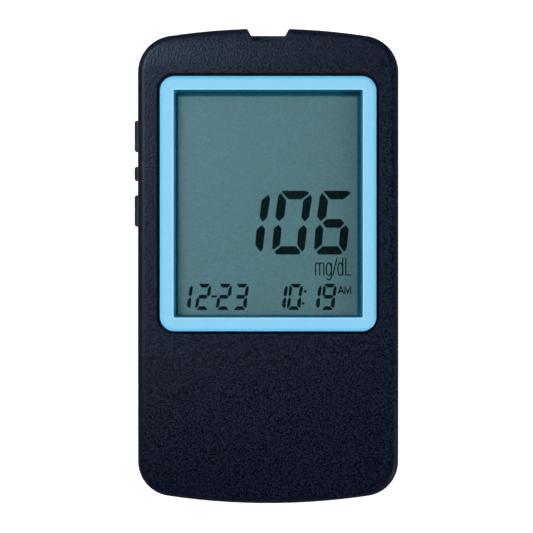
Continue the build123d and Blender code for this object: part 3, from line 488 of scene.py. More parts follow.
@dataclass(frozen=True)
class Finish:
    """One finish of a solid surface.

    Attributes:
        name: The material's name.
        colour: Main colour, linear.
        second: The colour that its blotches lean to.
        rough: Roughness on the grains and between them, or on the lines and between them.
        metallic: 1 for bare metal.
        specular: Specular level of the shader.
        size: Size of one grain.
        depth: Depth of the grain.
        edge: Radius of the eased edges.
        worn_and_highlight_colour: Colour on the eased edges: worn colour, and on the strip guide a painted
            highlight.
        wear_and_highlight: How much of that colour shows.
        dust: How much dust shows.
        coat: Weight of a clear coat.
        crease: Edges of a solid sharper than this, in degrees, stay sharp.
    """

    name: str
    colour: Colour
    second: Colour
    rough: Pair
    metallic: float = 0.0
    specular: float = 0.5
    size: float = 0.3
    depth: float = 0.01
    edge: float = 0.15
    worn_and_highlight_colour: Colour = (0.3, 0.3, 0.3)
    wear_and_highlight: float = 0.0
    dust: float = 0.0
    coat: float = 0.0
    crease: float = 31.0

    def pattern(self, bench: Bench, place: Socket) -> tuple[Socket, Socket]:
        """The height and the tone of the fine texture, here a grain."""
        grain = bench.group(Effects.grain(), Place=place, Size=self.size * MM)
        return grain.outputs["Height"], grain.outputs["Tone"]

    def paint(self, bench: Bench, place: Socket, tone: Socket) -> Colour | Socket:
        """The colour before wear and dust: the two colours, mixed by the tone."""
        return bench.mix(tone, self.colour, self.second)

    def surface(self, bench: Bench, shader: bpy.types.Node) -> Socket:
        """What goes to the output: here the shader alone."""
        return shader.outputs[0]

    @cache
    def material(self) -> bpy.types.Material:
        """Builds the finish once.

        Returns:
            The material of this name.
        """
        made = bpy.data.materials.new(self.name)
        made.use_nodes = True
        made.node_tree.nodes.clear()
        bench = Bench(made.node_tree)
        place = bench.node("TexCoord").outputs["Object"]
        height, tone = self.pattern(bench, place)
        colour = self.paint(bench, place, tone)
        eased = bench.group(Effects.edges(), Place=place, Radius=self.edge * MM)
        if self.wear_and_highlight:
            colour = bench.mix(bench.times(eased.outputs["Mask"], self.wear_and_highlight), colour, self.worn_and_highlight_colour)
        rough = bench.spread(tone, 0.0, 1.0, *self.rough)
        if self.dust:
            dust = bench.times(bench.group(Effects.dust(), Place=place).outputs["Mask"], self.dust)
            colour = bench.mix(dust, colour, DUST)
            rough = bench.math("ADD", rough, bench.times(dust, 0.3))
        bump = {"Distance": self.depth * MM, "Height": height, "Normal": eased.outputs["Normal"]}
        shader = bench.node("BsdfPrincipled", {
            "Base Color": colour,
            "Roughness": rough,
            "Metallic": self.metallic,
            "Specular IOR Level": self.specular,
            "Coat Weight": self.coat,
            "Coat Roughness": 0.08,
            "Normal": bench.node("Bump", bump).outputs[0],
        })
        bench.node("OutputMaterial", {"Surface": self.surface(bench, shader)}).is_active_output = True
        return made


@dataclass(frozen=True)
class Brushed(Finish):
    """Bare metal that shows the fine lines of its rolling or drawing.

    Attributes:
        stretch: Cycles per metre of the lines along X, Y and Z.
    """

    metallic: float = 1.0
    stretch: Triple = (40.0, 4000.0, 4000.0)

    def pattern(self, bench: Bench, place: Socket) -> tuple[Socket, Socket]:
        """The lines, which are both the height and the tone."""
        lines = bench.group(Effects.brushing(), Place=place, Stretch=self.stretch).outputs["Height"]
        return lines, lines


@dataclass(frozen=True)
class Clear(Finish):
    """A clear pane. Lamps reach what is behind it, and the eye sees its gloss."""

    def surface(self, bench: Bench, shader: bpy.types.Node) -> Socket:
        """Glass for the eye, and a plain see-through for shadow and diffuse rays."""
        bench.fill(shader, {"Transmission Weight": 1.0, "IOR": 1.49})
        rays = bench.node("LightPath").outputs
        lit = bench.math("MAXIMUM", rays["Is Shadow Ray"], rays["Is Diffuse Ray"])
        through = bench.node("BsdfTransparent", {"Color": colour4(self.colour)})
        return bench.node("MixShader", {0: lit, 1: shader.outputs[0], 2: through.outputs[0]}).outputs[0]


@dataclass(frozen=True)
class Ring(Finish):
    """The ring's light blue plastic, with painted shade and a painted highlight: the dark outer edge is
    painted shadow of the groove, the dished band painted shade, the line round the mouth a painted
    highlight, and the mouth's steep walls painted darker as shade.

    Attributes:
        centre: Middle of the ring's outline.
        half: Half of its width and of its length.
        corner: Radius of its corners.
        rim: Colour of the outer edge, painted shadow of the groove round the ring.
        band: Colour of the dished band, painted shade, more saturated than the flat.
        line: Colour of the light line round the mouth, a painted highlight.
        wall_shade: Colour of the mouth's steep walls, painted shade.
    """

    centre: Pair = (0.0, 13.4)
    half: Pair = (23.5, 27.65)
    corner: float = 3.4
    rim: Colour = (0.002, 0.006, 0.022)
    band: Colour = (0.15, 0.565, 0.895)
    line: Colour = (0.31, 0.70, 0.95)
    wall_shade: Colour = (0.0005, 0.12, 0.225)

    def paint(self, bench: Bench, place: Socket, tone: Socket) -> Colour | Socket:
        """The painted shadow, shade and highlight and the flat colour from the rim to the mouth, by the
        depth inside the outline.

        With q the distance from the middle less the half size, plus the corner's radius,
        the depth is the radius less the length of q's positive part, less the larger of
        q's two numbers where both are negative. Each colour comes in between two depths.
        """
        flat = super().paint(bench, place, tone)
        middle = (self.centre[0] * MM, self.centre[1] * MM, 0)
        away = bench.vector("ABSOLUTE", bench.vector("SUBTRACT", place, middle))
        core = [(size - self.corner) * MM for size in self.half]
        q = bench.vector("SUBTRACT", away, (*core, 1.0))
        length = bench.vector("LENGTH", bench.vector("MAXIMUM", q, (0, 0, 0)))
        parts = bench.split(q)
        within = bench.math("MINIMUM", bench.math("MAXIMUM", parts["X"], parts["Y"]), 0.0)
        depth = bench.math("SUBTRACT", self.corner * MM, bench.math("ADD", length, within))
        # Painted shadow on the rim, painted shade on the band and the walls, painted highlight on the line
        # round the mouth.
        steps = (
            (0.24, 0.30, self.band), (0.70, 0.95, flat), (2.74, 2.88, self.line), (3.10, 3.24, self.wall_shade),
        )
        colour = self.rim
        for start, end, following in steps:
            colour = bench.mix(bench.spread(depth, start * MM, end * MM), colour, following)
        return colour


class Mark(Enum):
    """The symbol on a key's cap, as the way its point looks: +1 up, -1 down, 0 for a bar."""

    UP = 1
    BAR = 0
    DOWN = -1


# Each key's name, its symbol, its place along Y and its cap's length.
KEY_ROWS = (("up", Mark.UP, 28.0, 6.8), ("set", Mark.BAR, 19.9, 3.1), ("down", Mark.DOWN, 11.9, 6.8))


@dataclass(frozen=True)
class KeyCap(Finish):
    """A keycap with a symbol printed on its outer face.

    Attributes:
        mark: The symbol.
        middle: The cap's middle along Y.
        reach: Half of the symbol's length.
        face: The print lies further out along X than this.
        ink: Colour of the print.
    """

    mark: Mark = Mark.BAR
    middle: float = 0.0
    reach: float = 0.85
    face: float = -28.8
    ink: Colour = (0.38, 0.42, 0.47)

    def paint(self, bench: Bench, place: Socket, tone: Socket) -> Colour | Socket:
        """The plastic, and ink inside the symbol.

        With u along the key and v across it, a triangle is where |v| is under 0.6 times the
        distance to its tip, between foot and tip. A bar is where |u| and |v| are both small.
        """
        parts, reach = bench.split(place), self.reach * MM
        u = bench.math("SUBTRACT", parts["Y"], self.middle * MM)
        v = bench.math("ABSOLUTE", bench.math("SUBTRACT", parts["Z"], KEY_Z * MM))
        if self.mark is Mark.BAR:
            along, limit, across = bench.math("ABSOLUTE", u), reach * 0.35, reach
        else:
            along = bench.math("SUBTRACT", reach, bench.times(u, float(self.mark.value)))
            limit, across = 2 * reach, bench.times(along, 0.6)
        inside = bench.times(bench.math("LESS_THAN", along, limit), bench.math("LESS_THAN", v, across))
        outer = bench.math("LESS_THAN", parts["X"], self.face * MM)
        return bench.mix(bench.times(inside, outer), super().paint(bench, place, tone), self.ink)


DUST = (0.35, 0.36, 0.37)
CASE = Finish(
    "case_plastic", (0.0004, 0.0012, 0.0062), (0.0058, 0.0090, 0.0215), (0.36, 0.50), specular=0.20,
    size=0.36, depth=0.055, edge=0.25, worn_and_highlight_colour=(0.02, 0.025, 0.035), wear_and_highlight=0.15, dust=0.006,
)
# The ring's finish paints shade, shadow and a highlight into its colour.
BEZEL = Ring(
    "ring_plastic_painted_light", (0.241, 0.604, 0.85), (0.265, 0.631, 0.875), (0.34, 0.42),
    specular=0.25, size=0.25, depth=0.003, edge=0.12, crease=18.0,
)
WINDOW = Clear(
    "window_acrylic", (0.96, 0.98, 0.98), (0.97, 0.98, 0.98), (0.02, 0.04),
    size=2.0, depth=0.0004, edge=0.05,
)
FOAM = Finish(
    "closed_cell_foam", (0.012, 0.012, 0.013), (0.03, 0.03, 0.032), (0.85, 1.0),
    specular=0.2, size=0.35, depth=0.06,
)
FILM = Finish(
    "polariser_film", (0.035, 0.098, 0.103), (0.044, 0.120, 0.126), (0.46, 0.54),
    size=0.5, depth=0.001, edge=0.05,
)
# A dark frame round the display's edge: painted shadow that the ring's walls cast on the display.
PAINTED_SHADOW = Finish(
    "display_painted_shadow", (0.0012, 0.072, 0.118), (0.0024, 0.085, 0.135), (0.35, 0.45),
    specular=0.1, size=0.4, depth=0.001, edge=0.03,
)
FIGURE = Finish(
    "display_figure", (0.0008, 0.005, 0.0055), (0.0014, 0.007, 0.0075), (0.4, 0.5),
    specular=0.02, depth=0.001, edge=0.03,
)
GLASS = Clear(
    "display_glass", (0.80, 0.90, 0.88), (0.82, 0.91, 0.89), (0.01, 0.03),
    size=2.0, depth=0.0003, edge=0.05,
)
REFLECTOR = Finish(
    "reflector_film", (0.42, 0.46, 0.46), (0.50, 0.54, 0.54), (0.35, 0.5),
    metallic=0.6, size=0.4, depth=0.004, edge=0.05,
)
HOLDER = Finish(
    "natural_plastic", (0.60, 0.60, 0.56), (0.70, 0.70, 0.66), (0.4, 0.55),
    size=0.4, depth=0.006, edge=0.12, dust=0.1,
)
ZEBRA = Brushed(
    "layered_rubber", (0.02, 0.02, 0.022), (0.45, 0.42, 0.40), (0.6, 0.8),
    metallic=0.0, stretch=(9000.0, 60.0, 60.0), edge=0.05,
)
BOARD = Finish(
    "solder_mask", (0.008, 0.085, 0.035), (0.012, 0.12, 0.05), (0.25, 0.35),
    size=0.5, depth=0.004, edge=0.08, worn_and_highlight_colour=(0.5, 0.42, 0.2), wear_and_highlight=0.5, coat=0.4, dust=0.1,
)
CHIP = Finish(
    "moulded_epoxy", (0.012, 0.012, 0.013), (0.03, 0.03, 0.032), (0.5, 0.7),
    size=0.12, depth=0.006, edge=0.08, wear_and_highlight=0.15,
)
CAN = Brushed(
    "drawn_can", (0.60, 0.60, 0.58), (0.72, 0.72, 0.70), (0.2, 0.38),
    stretch=(300.0, 300.0, 6000.0), depth=0.003, edge=0.08,
)
CONTACT = Brushed(
    "gold_contact", (0.72, 0.50, 0.20), (0.84, 0.62, 0.28), (0.18, 0.32),
    stretch=(6000.0, 200.0, 200.0), depth=0.002, edge=0.05,
)
SOCKET = Finish(
    "black_socket", (0.016, 0.016, 0.018), (0.03, 0.03, 0.033), (0.38, 0.5),
    depth=0.005, edge=0.12, wear_and_highlight=0.2,
)
# The strip guide's light edge colour is a painted highlight along the notch's slanted edges.
GUIDE = Finish(
    "smooth_guide", (0.0085, 0.0190, 0.035), (0.0115, 0.0240, 0.043), (0.26, 0.36),
    specular=0.4, size=0.25, depth=0.003, edge=0.18, worn_and_highlight_colour=(0.15, 0.15, 0.18), wear_and_highlight=0.8,
)
KEYS = {
    name: KeyCap(
        f"{name}_keycap", (0.009, 0.010, 0.014), (0.014, 0.0155, 0.021), (0.45, 0.6), specular=0.15,
        size=0.2, edge=0.18, worn_and_highlight_colour=(0.05, 0.052, 0.06), wear_and_highlight=0.3, mark=mark, middle=y,
    )
    for name, mark, y, _ in KEY_ROWS
}
# The collars' light grey is a painted highlight along the edge between each cap and the case.
HIGHLIGHT_COLLAR = Finish(
    "collar_painted_highlight", (0.33, 0.355, 0.40), (0.375, 0.405, 0.455), (0.55, 0.7),
    specular=0.2, size=0.15, depth=0.006, edge=0.05,
)
PLUNGER = Finish(
    "switch_plunger", (0.55, 0.55, 0.52), (0.64, 0.64, 0.60), (0.4, 0.5), depth=0.004, edge=0.08,
)
SPEAKER = Finish(
    "black_steel", (0.02, 0.02, 0.021), (0.035, 0.035, 0.037), (0.35, 0.5),
    size=0.25, depth=0.005, edge=0.12, worn_and_highlight_colour=(0.4, 0.4, 0.4), wear_and_highlight=0.35,
)
DIAPHRAGM = Finish(
    "thin_film", (0.45, 0.40, 0.28), (0.52, 0.47, 0.34), (0.15, 0.25), size=1.2, edge=0.05,
)
MAGNET = Brushed(
    "plated_cup", (0.52, 0.52, 0.54), (0.62, 0.62, 0.64), (0.22, 0.36),
    stretch=(600.0, 4000.0, 600.0), depth=0.003, edge=0.1,
)
NICKEL = Brushed(
    "nickel_spring", (0.62, 0.60, 0.56), (0.74, 0.72, 0.68), (0.18, 0.34),
    stretch=(400.0, 5000.0, 400.0), depth=0.002, edge=0.06,
)
SOLDER = Finish("solder", (0.60, 0.61, 0.62), (0.74, 0.75, 0.76), (0.2, 0.4), metallic=1.0, edge=0.04)
TRACE = Finish(
    "masked_copper", (0.030, 0.22, 0.09), (0.038, 0.25, 0.105), (0.22, 0.3),
    size=0.4, depth=0.003, edge=0.04, coat=0.4,
)
BAND = Finish(
    "cell_band", (0.40, 0.41, 0.43), (0.46, 0.47, 0.49), (0.25, 0.32),
    size=0.6, depth=0.002, edge=0.05, coat=0.4,
)
PRINT = Finish(
    "white_print", (0.60, 0.61, 0.62), (0.70, 0.71, 0.72), (0.4, 0.5), depth=0.002, edge=0.03,
)
GAUZE = Finish(
    "speaker_gauze", (0.010, 0.010, 0.011), (0.035, 0.035, 0.037), (0.7, 0.9),
    specular=0.2, size=0.18, depth=0.05, edge=0.05,
)
SCREW = Finish(
    "zinc_screw", (0.42, 0.43, 0.45), (0.56, 0.56, 0.57), (0.26, 0.42),
    metallic=1.0, size=0.2, depth=0.004, edge=0.06,
)
CELL = Finish(
    "cell_sleeve", (0.045, 0.05, 0.056), (0.055, 0.06, 0.067), (0.22, 0.3),
    size=0.6, depth=0.003, edge=0.2, worn_and_highlight_colour=(0.4, 0.4, 0.4), wear_and_highlight=0.25, coat=0.5,
)
LABEL = Finish(
    "blank_label", (0.45, 0.47, 0.48), (0.49, 0.51, 0.52), (0.35, 0.45),
    size=0.6, depth=0.003, edge=0.05,
)

NODE_FINISH: dict[Finish, str] = {
    CASE: "front_cover rear_cover battery_cover cover_latch",
    GUIDE: "strip_port_guide",
    LABEL: "rear_label",
    SCREW: "case_screws",
    BEZEL: "display_bezel",
    WINDOW: "display_window",
    FOAM: "display_gasket speaker_gasket",
    FILM: "lcd_polariser",
    GLASS: "lcd_front_glass lcd_rear_glass",
    REFLECTOR: "lcd_reflector",
    HOLDER: "lcd_holder",
    ZEBRA: "upper_contact_strip lower_contact_strip",
    BOARD: "circuit_board",
    CHIP: "microcontroller speech_chip",
    CAN: "clock_crystal board_capacitors",
    SOCKET: "strip_connector up_switch set_switch down_switch",
    CONTACT: "strip_contacts speaker_contacts",
    PLUNGER: "up_plunger set_plunger down_plunger",
    **{finish: f"{name}_button" for name, finish in KEYS.items()},
    SPEAKER: "speaker_frame",
    DIAPHRAGM: "speaker_diaphragm",
    MAGNET: "speaker_magnet",
    CELL: "upper_battery lower_battery",
    NICKEL: "battery_bridge negative_terminal positive_terminal",
}


def dress_nodes() -> None:
    """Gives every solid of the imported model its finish, and shades its round parts smoothly."""
    for finish, names in NODE_FINISH.items():
        for name in names.split():
            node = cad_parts[name]
            node.data.materials.clear()
            node.data.materials.append(finish.material())
            node.data.polygons.foreach_set("use_smooth", np.ones(len(node.data.polygons), bool))
            weld = node.modifiers.new("weld", "WELD")
            weld.merge_threshold = WELD_GAP
            split = node.modifiers.new("sharp_edges", "EDGE_SPLIT")
            split.split_angle = math.radians(finish.crease)
            log.info("%s: finish %s", name, finish.name)


# ---- display


@dataclass(frozen=True)
class FigureStyle:
    """One size of seven-segment figure, leaning to the right.

    Attributes:
        bars: Outlines of bars a to g before they lean, from the figure's left edge and foot,
            each as x, y, x, y and so on, clockwise from its upper left.
        bold: How far each bar's edges stand outside its outline.
        lean: Sideways shift per height.
    """

    bars: dict[str, tuple[float, ...]]
    bold: float
    lean: float = 0.114

    def bar(self, name: str) -> Points:
        """The outline of one bar, counter-clockwise: each corner (u, v) leans to (u + lean v, v)."""
        corners = np.array(self.bars[name]).reshape(-1, 2)[::-1]
        return drawn_in(corners + corners[:, 1:] * [self.lean, 0], -self.bold)


LARGE = FigureStyle({
    "a": (0.93, 13.71, 5.72, 13.71, 6.60, 13.22, 5.08, 11.90, 2.30, 11.90, 0.70, 13.52),
    "b": (5.55, 11.64, 6.80, 12.80, 7.06, 12.66, 7.30, 11.92, 7.14, 8.09, 6.30, 7.09, 5.52, 8.07),
    "c": (5.20, 5.32, 6.24, 6.30, 6.98, 5.47, 6.98, 1.47, 6.70, 0.75, 6.42, 0.75, 5.29, 2.10),
    "d": (1.82, 1.75, 5.04, 1.75, 6.15, 0.56, 5.82, 0.02, 1.20, 0.02, 0.62, 0.56),
    "e": (-0.12, 5.58, 0.77, 6.40, 1.50, 5.54, 1.58, 2.18, 0.34, 1.04, 0.0, 1.47),
    "f": (0.0, 12.46, 0.44, 13.20, 1.82, 11.66, 1.82, 8.18, 0.81, 7.20, -0.08, 8.15),
    "g": (2.06, 7.61, 5.02, 7.61, 5.89, 6.71, 5.06, 5.78, 2.20, 5.78, 1.22, 6.71),
}, bold=0.04)
SMALL = FigureStyle({
    "a": (0.28, 5.50, 2.34, 5.50, 1.97, 4.84, 0.80, 4.84),
    "b": (2.25, 4.52, 2.58, 5.02, 2.78, 4.72, 2.74, 3.22, 2.50, 2.94, 2.20, 3.24),
    "c": (2.14, 2.02, 2.50, 2.52, 2.74, 2.20, 2.76, 0.90, 2.62, 0.42, 2.10, 0.90),
    "d": (0.82, 0.62, 1.98, 0.62, 2.44, 0.0, 0.36, 0.0),
    "e": (0.0, 2.20, 0.28, 2.52, 0.52, 2.20, 0.44, 0.90, 0.20, 0.40, -0.06, 0.62),
    "f": (0.0, 4.80, 0.16, 5.12, 0.48, 4.56, 0.46, 3.22, 0.32, 2.94, 0.0, 3.24),
    "g": (0.62, 3.08, 2.02, 3.08, 2.22, 2.76, 1.98, 2.44, 0.62, 2.44, 0.42, 2.76),
}, bold=0.09)
SHOWN = {"0": "abcdef", "1": "bc", "2": "abged", "3": "abgcd", "6": "acdefg", "9": "abcdfg"}


@dataclass
class Display:
    """The segment display: its figures lie on the polariser, under the window.

    Attributes:
        low: Top of the polariser, where the figures start.
        high: Their upper face.
        slope: Width of the slope round a figure's top.
        result: Place of the result's foot and left edge, and the step of its figures.
        date: Left edges of the date's figures.
        clock: Left edges of the clock's figures.
        foot: Foot of the date and of the clock.
        unit_stroke: Width of the unit's strokes.
        mark_stroke: Width of the morning mark's strokes.
        view: Least and greatest X, then least and greatest Y, that the frame of painted shadow leaves
            clear.
        shadow_width: Width of the frame of painted shadow.
    """

    low: float = 16.6
    high: float = 16.63
    slope: float = 0.008
    result: Triple = (-8.27, 2.48, 9.0)
    date: tuple[float, ...] = (-19.60, -15.64, -11.16, -7.55)
    clock: tuple[float, ...] = (0.84, 4.09, 8.13, 11.36)
    foot: float = -9.38
    unit_stroke: float = 0.27
    mark_stroke: float = 0.32
    view: tuple[float, float, float, float] = (-19.4, 19.15, -10.5, 36.5)
    shadow_width: float = 1.6

    def spot(self, outline: Points) -> Surface:
        """One dark spot of the display."""
        return plate(outline, self.low, self.high, self.slope)

    def figures(self, text: str, style: FigureStyle, lefts: tuple[float, ...], foot: float) -> Surface:
        """A row of figures, every bar a thin plate.

        Args:
            text: The figures.
            style: Their size.
            lefts: Left edge of each one, at its foot.
            foot: Height of the feet.

        Returns:
            All the bars.
        """
        return joined([
            self.spot(style.bar(bar) + [left, foot])
            for sign, left in zip(text, lefts)
            for bar in SHOWN[sign]
        ])

    def strokes(self, lines: list, width: float, closed: bool = False) -> list[Surface]:
        """Flat lines of one width on the display."""
        return [stroke(line, width, self.low, self.high, closed) for line in lines]

    def unit_letters(self) -> Surface:
        """The unit mg/dL: straight stems, half-ellipse humps and oval bowls of one width."""
        foot, hump, ascent = -2.04, 0.22, 1.76
        m_lines = [
            [[10.23, foot], [10.23, 0.62]],
            np.vstack([arc((10.665, hump), (0.435, 0.46), 180, 0), [[11.10, foot]]]),
            np.vstack([arc((11.55, hump), (0.45, 0.46), 180, 0), [[12.00, foot]]]),
        ]
        tail = np.vstack([[[13.64, 0.62], [13.64, -2.1]], arc((13.09, -2.28), (0.55, 0.68), 0, -150)])
        slash, d_stem = [[13.91, -2.02], [14.84, 1.81]], [[16.07, foot], [16.07, ascent]]
        last = [[16.72, ascent], [16.72, foot + 0.13], [17.84, foot + 0.13]]
        bowls = [ellipse((13.07, -0.66), (0.56, 1.34)), ellipse((15.53, -0.67), (0.53, 1.36))]
        open_lines = self.strokes([*m_lines, tail, slash, d_stem, last], self.unit_stroke)
        return joined(open_lines + self.strokes(bowls, self.unit_stroke, closed=True))

    def morning_mark(self) -> Surface:
        """The letters AM, drawn with straight strokes."""
        top, base, bar = -4.42, -5.92, -5.46
        a_legs = [[15.10, base], [15.66, top], [16.22, base]]
        a_bar = [[15.28, bar], [16.04, bar]]
        m_legs = [[16.50, base], [16.50, top], [17.13, base + 0.2], [17.76, top], [17.76, base]]
        return joined(self.strokes([a_legs, a_bar, m_legs], self.mark_stroke))

    def shadow_frame(self) -> Surface:
        """The dark frame round the display's edge, painted shadow of the ring's walls: four rings of
        corners, joined into a flat frame.
        """
        left, right, foot, head = self.view
        inner = np.array([[left, foot], [right, foot], [right, head], [left, head]])
        outer = inner + SQUARE * self.shadow_width
        low, high = self.low - 0.005, self.high - 0.01
        rings = ((outer, low), (outer, high), (inner, high), (inner, low))
        return skin([at_height(ring, z) for ring, z in rings], loop=True)

    def make(self) -> None:
        """Builds the frame of painted shadow round the display's edge, the result, its unit, the date, the
        clock and the morning mark.
        """
        make_piece("display_painted_shadow", self.shadow_frame(), PAINTED_SHADOW)
        x, y, step = self.result
        dash = self.spot([
            [-12.29, -6.52], [-12.1, -6.74], [-11.1, -6.74], [-10.98, -6.52], [-11.1, -6.3], [-12.1, -6.3],
        ])
        dots = [self.spot(ellipse(centre, 0.30)) for centre in ((7.97, -5.44), (7.57, -8.06))]
        shown = {
            "result_figures": self.figures("106", LARGE, (x, x + step, x + 2 * step), y),
            "unit_letters": self.unit_letters(),
            "date_figures": joined([self.figures("1223", SMALL, self.date, self.foot), dash]),
            "clock_figures": joined([self.figures("1019", SMALL, self.clock, self.foot), *dots]),
            "morning_mark": self.morning_mark(),
        }
        for name, surface in shown.items():
            make_piece(name, surface, FIGURE)


# ---- keys


@dataclass
class SideKeys:
    """The three keys' collars: light grey pads whose colour is a painted highlight, the lit lines between
    each cap and the case.

    Attributes:
        outer_x: The collar's outer face.
        inner_x: Its inner face, just inside the case's side.
        half_width: Half of its size across the key.
        lap: How far it reaches past the cap at each end.
    """

    outer_x: float = -28.15
    inner_x: float = -27.93
    half_width: float = 1.90
    lap: float = 0.06

    def make(self) -> None:
        """Builds one collar for each key, a thin pad round the cap's foot."""
        outward = [[0, 0, -1], [0, 1, 0], [1, 0, 0]]
        for name, _, y, length in KEY_ROWS:
            corners = SQUARE * [self.half_width, length / 2 + self.lap]
            pad = plate(corners, 0.0, self.inner_x - self.outer_x, 0.04).turned(outward)
            make_piece(f"{name}_collar", pad.moved(self.inner_x, y, KEY_Z), HIGHLIGHT_COLLAR, f"{name}_key")


# ---- board


@dataclass
class Electronics:
    """The fine parts of the circuit board: leads, bases, traces, pads and solder.

    Attributes:
        underside: Lower face of the board, which carries the chips.
        top: Upper face of the board.
        lead_width: Width of a chip's lead.
        lead_sheet: Thickness of a chip's lead.
        lead_reach: How far a lead stands out from its chip.
        sink: How far what lies on the board reaches into it.
        proud: How far a trace or test point stands out of the underside.
        trace_width: Width of a trace.
        pad_rows: The Y of each row of the display's pads.
        test_points: Places of the round test points.
        wire_rows: The Y of each wire of the crystal.
        through: Places of the other leads that go through the board.
        cans: Places of the capacitors.
        base_sheet: Thickness of their bases.
    """

    underside: float = 10.4
    top: float = 11.6
    lead_width: float = 0.34
    lead_sheet: float = 0.14
    lead_reach: float = 0.85
    sink: float = 0.01
    proud: float = 0.03
    trace_width: float = 0.28
    pad_rows: Pair = (-12.95, 39.75)
    test_points: tuple[Pair, ...] = (
        (18.5, 10.0), (18.5, 7.0), (18.5, 4.0), (18.5, 1.0), (-12.0, -6.0), (-14.5, -6.0),
    )
    wire_rows: Pair = (22.0, 21.0)
    through: tuple[Pair, ...] = (
        (-1.8, 35.6), (-0.6, 35.6), (0.6, 35.6), (1.8, 35.6), (-8.0, 10.9), (8.0, 10.9),
    )
    cans: tuple[Pair, ...] = ((-6.0, -12.0), (0.0, -12.0), (6.0, -12.0))
    base_sheet: float = 0.5

    def side_leads(self, low: Points, high: Points, turn: int, count: int) -> list[Surface]:
        """Gull-wing leads along one side of a chip.

        Each lead leaves the body level at mid height, bends up and ends flat on the
        board. The row is made for the side that faces +X and turned by quarters about
        the chip's middle.

        Args:
            low: Lowest corner of the chip.
            high: Highest corner.
            turn: Number of quarter turns from the +X side.
            count: Number of leads.

        Returns:
            The leads.
        """
        size, middle = high - low, (low + high) / 2
        edge, along = size[turn % 2] / 2, size[1 - turn % 2]
        seat = self.underside - self.lead_sheet / 2
        reach = [-0.1, 0.2, 0.32, 0.42, 0.52, self.lead_reach]
        heights = [middle[2], middle[2], middle[2] + 0.1, seat - 0.12, seat, seat]
        path = np.stack([edge + np.array(reach), np.zeros(6), heights], axis=1)
        c, s = math.cos(turn * math.pi / 2), math.sin(turn * math.pi / 2)
        quarter = [[c, -s, 0], [s, c, 0], [0, 0, 1]]
        lead = swept(path, self.lead_width, self.lead_sheet, (0, 1, 0))
        steps = (np.arange(count) - (count - 1) / 2) * along / (count + 0.6)
        return [lead.moved(y=step).turned(quarter).moved(*middle[:2]) for step in steps]

    def chip_leads(self, chip: str, counts: tuple[int, int]) -> None:
        """Builds one chip's leads.

        Args:
            chip: The chip's node.
            counts: Leads on each X side and on each Y side.
        """
        low, high = (np.array(corner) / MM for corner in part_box(chip))
        sides = [self.side_leads(low, high, turn, counts[turn % 2]) for turn in range(4)]
        make_piece(f"{chip}_leads", joined(sum(sides, [])), SOLDER)

    def capacitor_bases(self) -> None:
        """The square bases of the three cans, with two cut corners, flat on the board."""
        half, cut = 2.15, 1.45
        outline = [[-half, -half], [half, -half], [half, cut], [cut, half], [-cut, half], [-half, cut]]
        low = self.underside - self.base_sheet
        bases = [plate(np.add(outline, place), low, self.underside) for place in self.cans]
        make_piece("capacitor_bases", joined(bases), SOCKET)

    def traces(self) -> None:
        """The copper runs under the solder mask, as flat lines a little proud of the underside.

        Copy k of a bundle's run lies at its first run plus k times the step of each point.
        """
        bundles = (
            (9, [[8.2, 23], [8.2, 20], [2.5, 15.5], [2.5, -8]],
             [[0.9, 0], [0.9, -0.4], [0.7, -0.5], [0.7, 0]]),
            (6, [[-8.6, 26.2], [-5, 26.2], [6, 26.2]], [[0, 0.95], [0.5, 0.95], [0, 0.95]]),
            (6, [[-15.3, 26.2], [-18.6, 24], [-18.6, 2]], [[0, 0.95], [0.4, 0.4], [0.4, 1]]),
            (4, [[-1.8, 36], [-1.8, 34.2], [5.4, 32.6], [6.1, 32.6]],
             [[1.2, 0], [1.2, -0.5], [0, -0.9], [0, -0.9]]),
        )
        runs = [np.add(first, k * np.array(step)) for count, first, step in bundles for k in range(count)]
        low, high = self.underside - self.proud, self.underside + self.sink
        lines = [stroke(run, self.trace_width, low, high) for run in runs]
        make_piece("board_traces", joined(lines), TRACE)

    def pads(self) -> None:
        """The gold pads on which the display's contact strips stand, and the round test points."""
        rows = [
            plate(SQUARE * [0.3, 0.8] + [x, y], self.top - self.sink, self.top + 0.02)
            for y in self.pad_rows
            for x in np.linspace(-20.0, 20.0, 41)
        ]
        low, high = self.underside - self.proud, self.underside + self.sink
        points = [plate(ellipse(place, 0.6), low, high) for place in self.test_points]
        make_piece("board_pads", joined(rows + points), CONTACT)

    def solder(self) -> None:
        """Solder domes over the through-hole leads.

        Each dome's radius shrinks with height as in a bell: wide and thin at the foot,
        steep in the middle and round at the top.
        """
        dome = turned_form([
            [0.0, -0.02], [0.62, -0.02], [0.60, 0.03], [0.45, 0.1],
            [0.33, 0.22], [0.28, 0.36], [0.18, 0.44], [0.0, 0.47],
        ], 20)
        places = [*self.through, *((15.6, y) for y in self.wire_rows)]
        domes = [dome.moved(x, y, self.top) for x, y in places]
        make_piece("solder_joints", joined(domes), SOLDER)

    def crystal_leads(self) -> None:
        """The crystal's two wires: out of its end, bent up into the board."""
        bend = [[14.9, 9.4], [15.3, 9.4], [15.52, 9.5], [15.6, 9.7], [15.6, 10.5]]
        wires = [swept([[x, y, z] for x, z in bend], 0.3, 0.3, (0, 1, 0), 10) for y in self.wire_rows]
        make_piece("crystal_leads", joined(wires), SOLDER)

    def switch_covers(self) -> None:
        """The steel cover of each side switch, with its four rivets."""
        profile = [[0.0, -0.14], [0.16, -0.12], [0.22, -0.06], [0.24, 0.0], [0.24, 0.1], [0.0, 0.1]]
        rivet = turned_form(profile, 16)
        for name in KEYS:
            low, high = (np.array(corner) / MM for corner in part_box(f"{name}_switch"))
            middle, half = (low + high)[:2] / 2, (high - low)[:2] / 2
            lid = plate(middle + SQUARE * half * 0.94, low[2] - 0.12, low[2] + 0.02)
            rivets = [rivet.moved(*corner, low[2] - 0.1) for corner in middle + SQUARE * half * 0.72]
            make_piece(f"{name}_switch_cover", joined([lid, *rivets]), NICKEL)

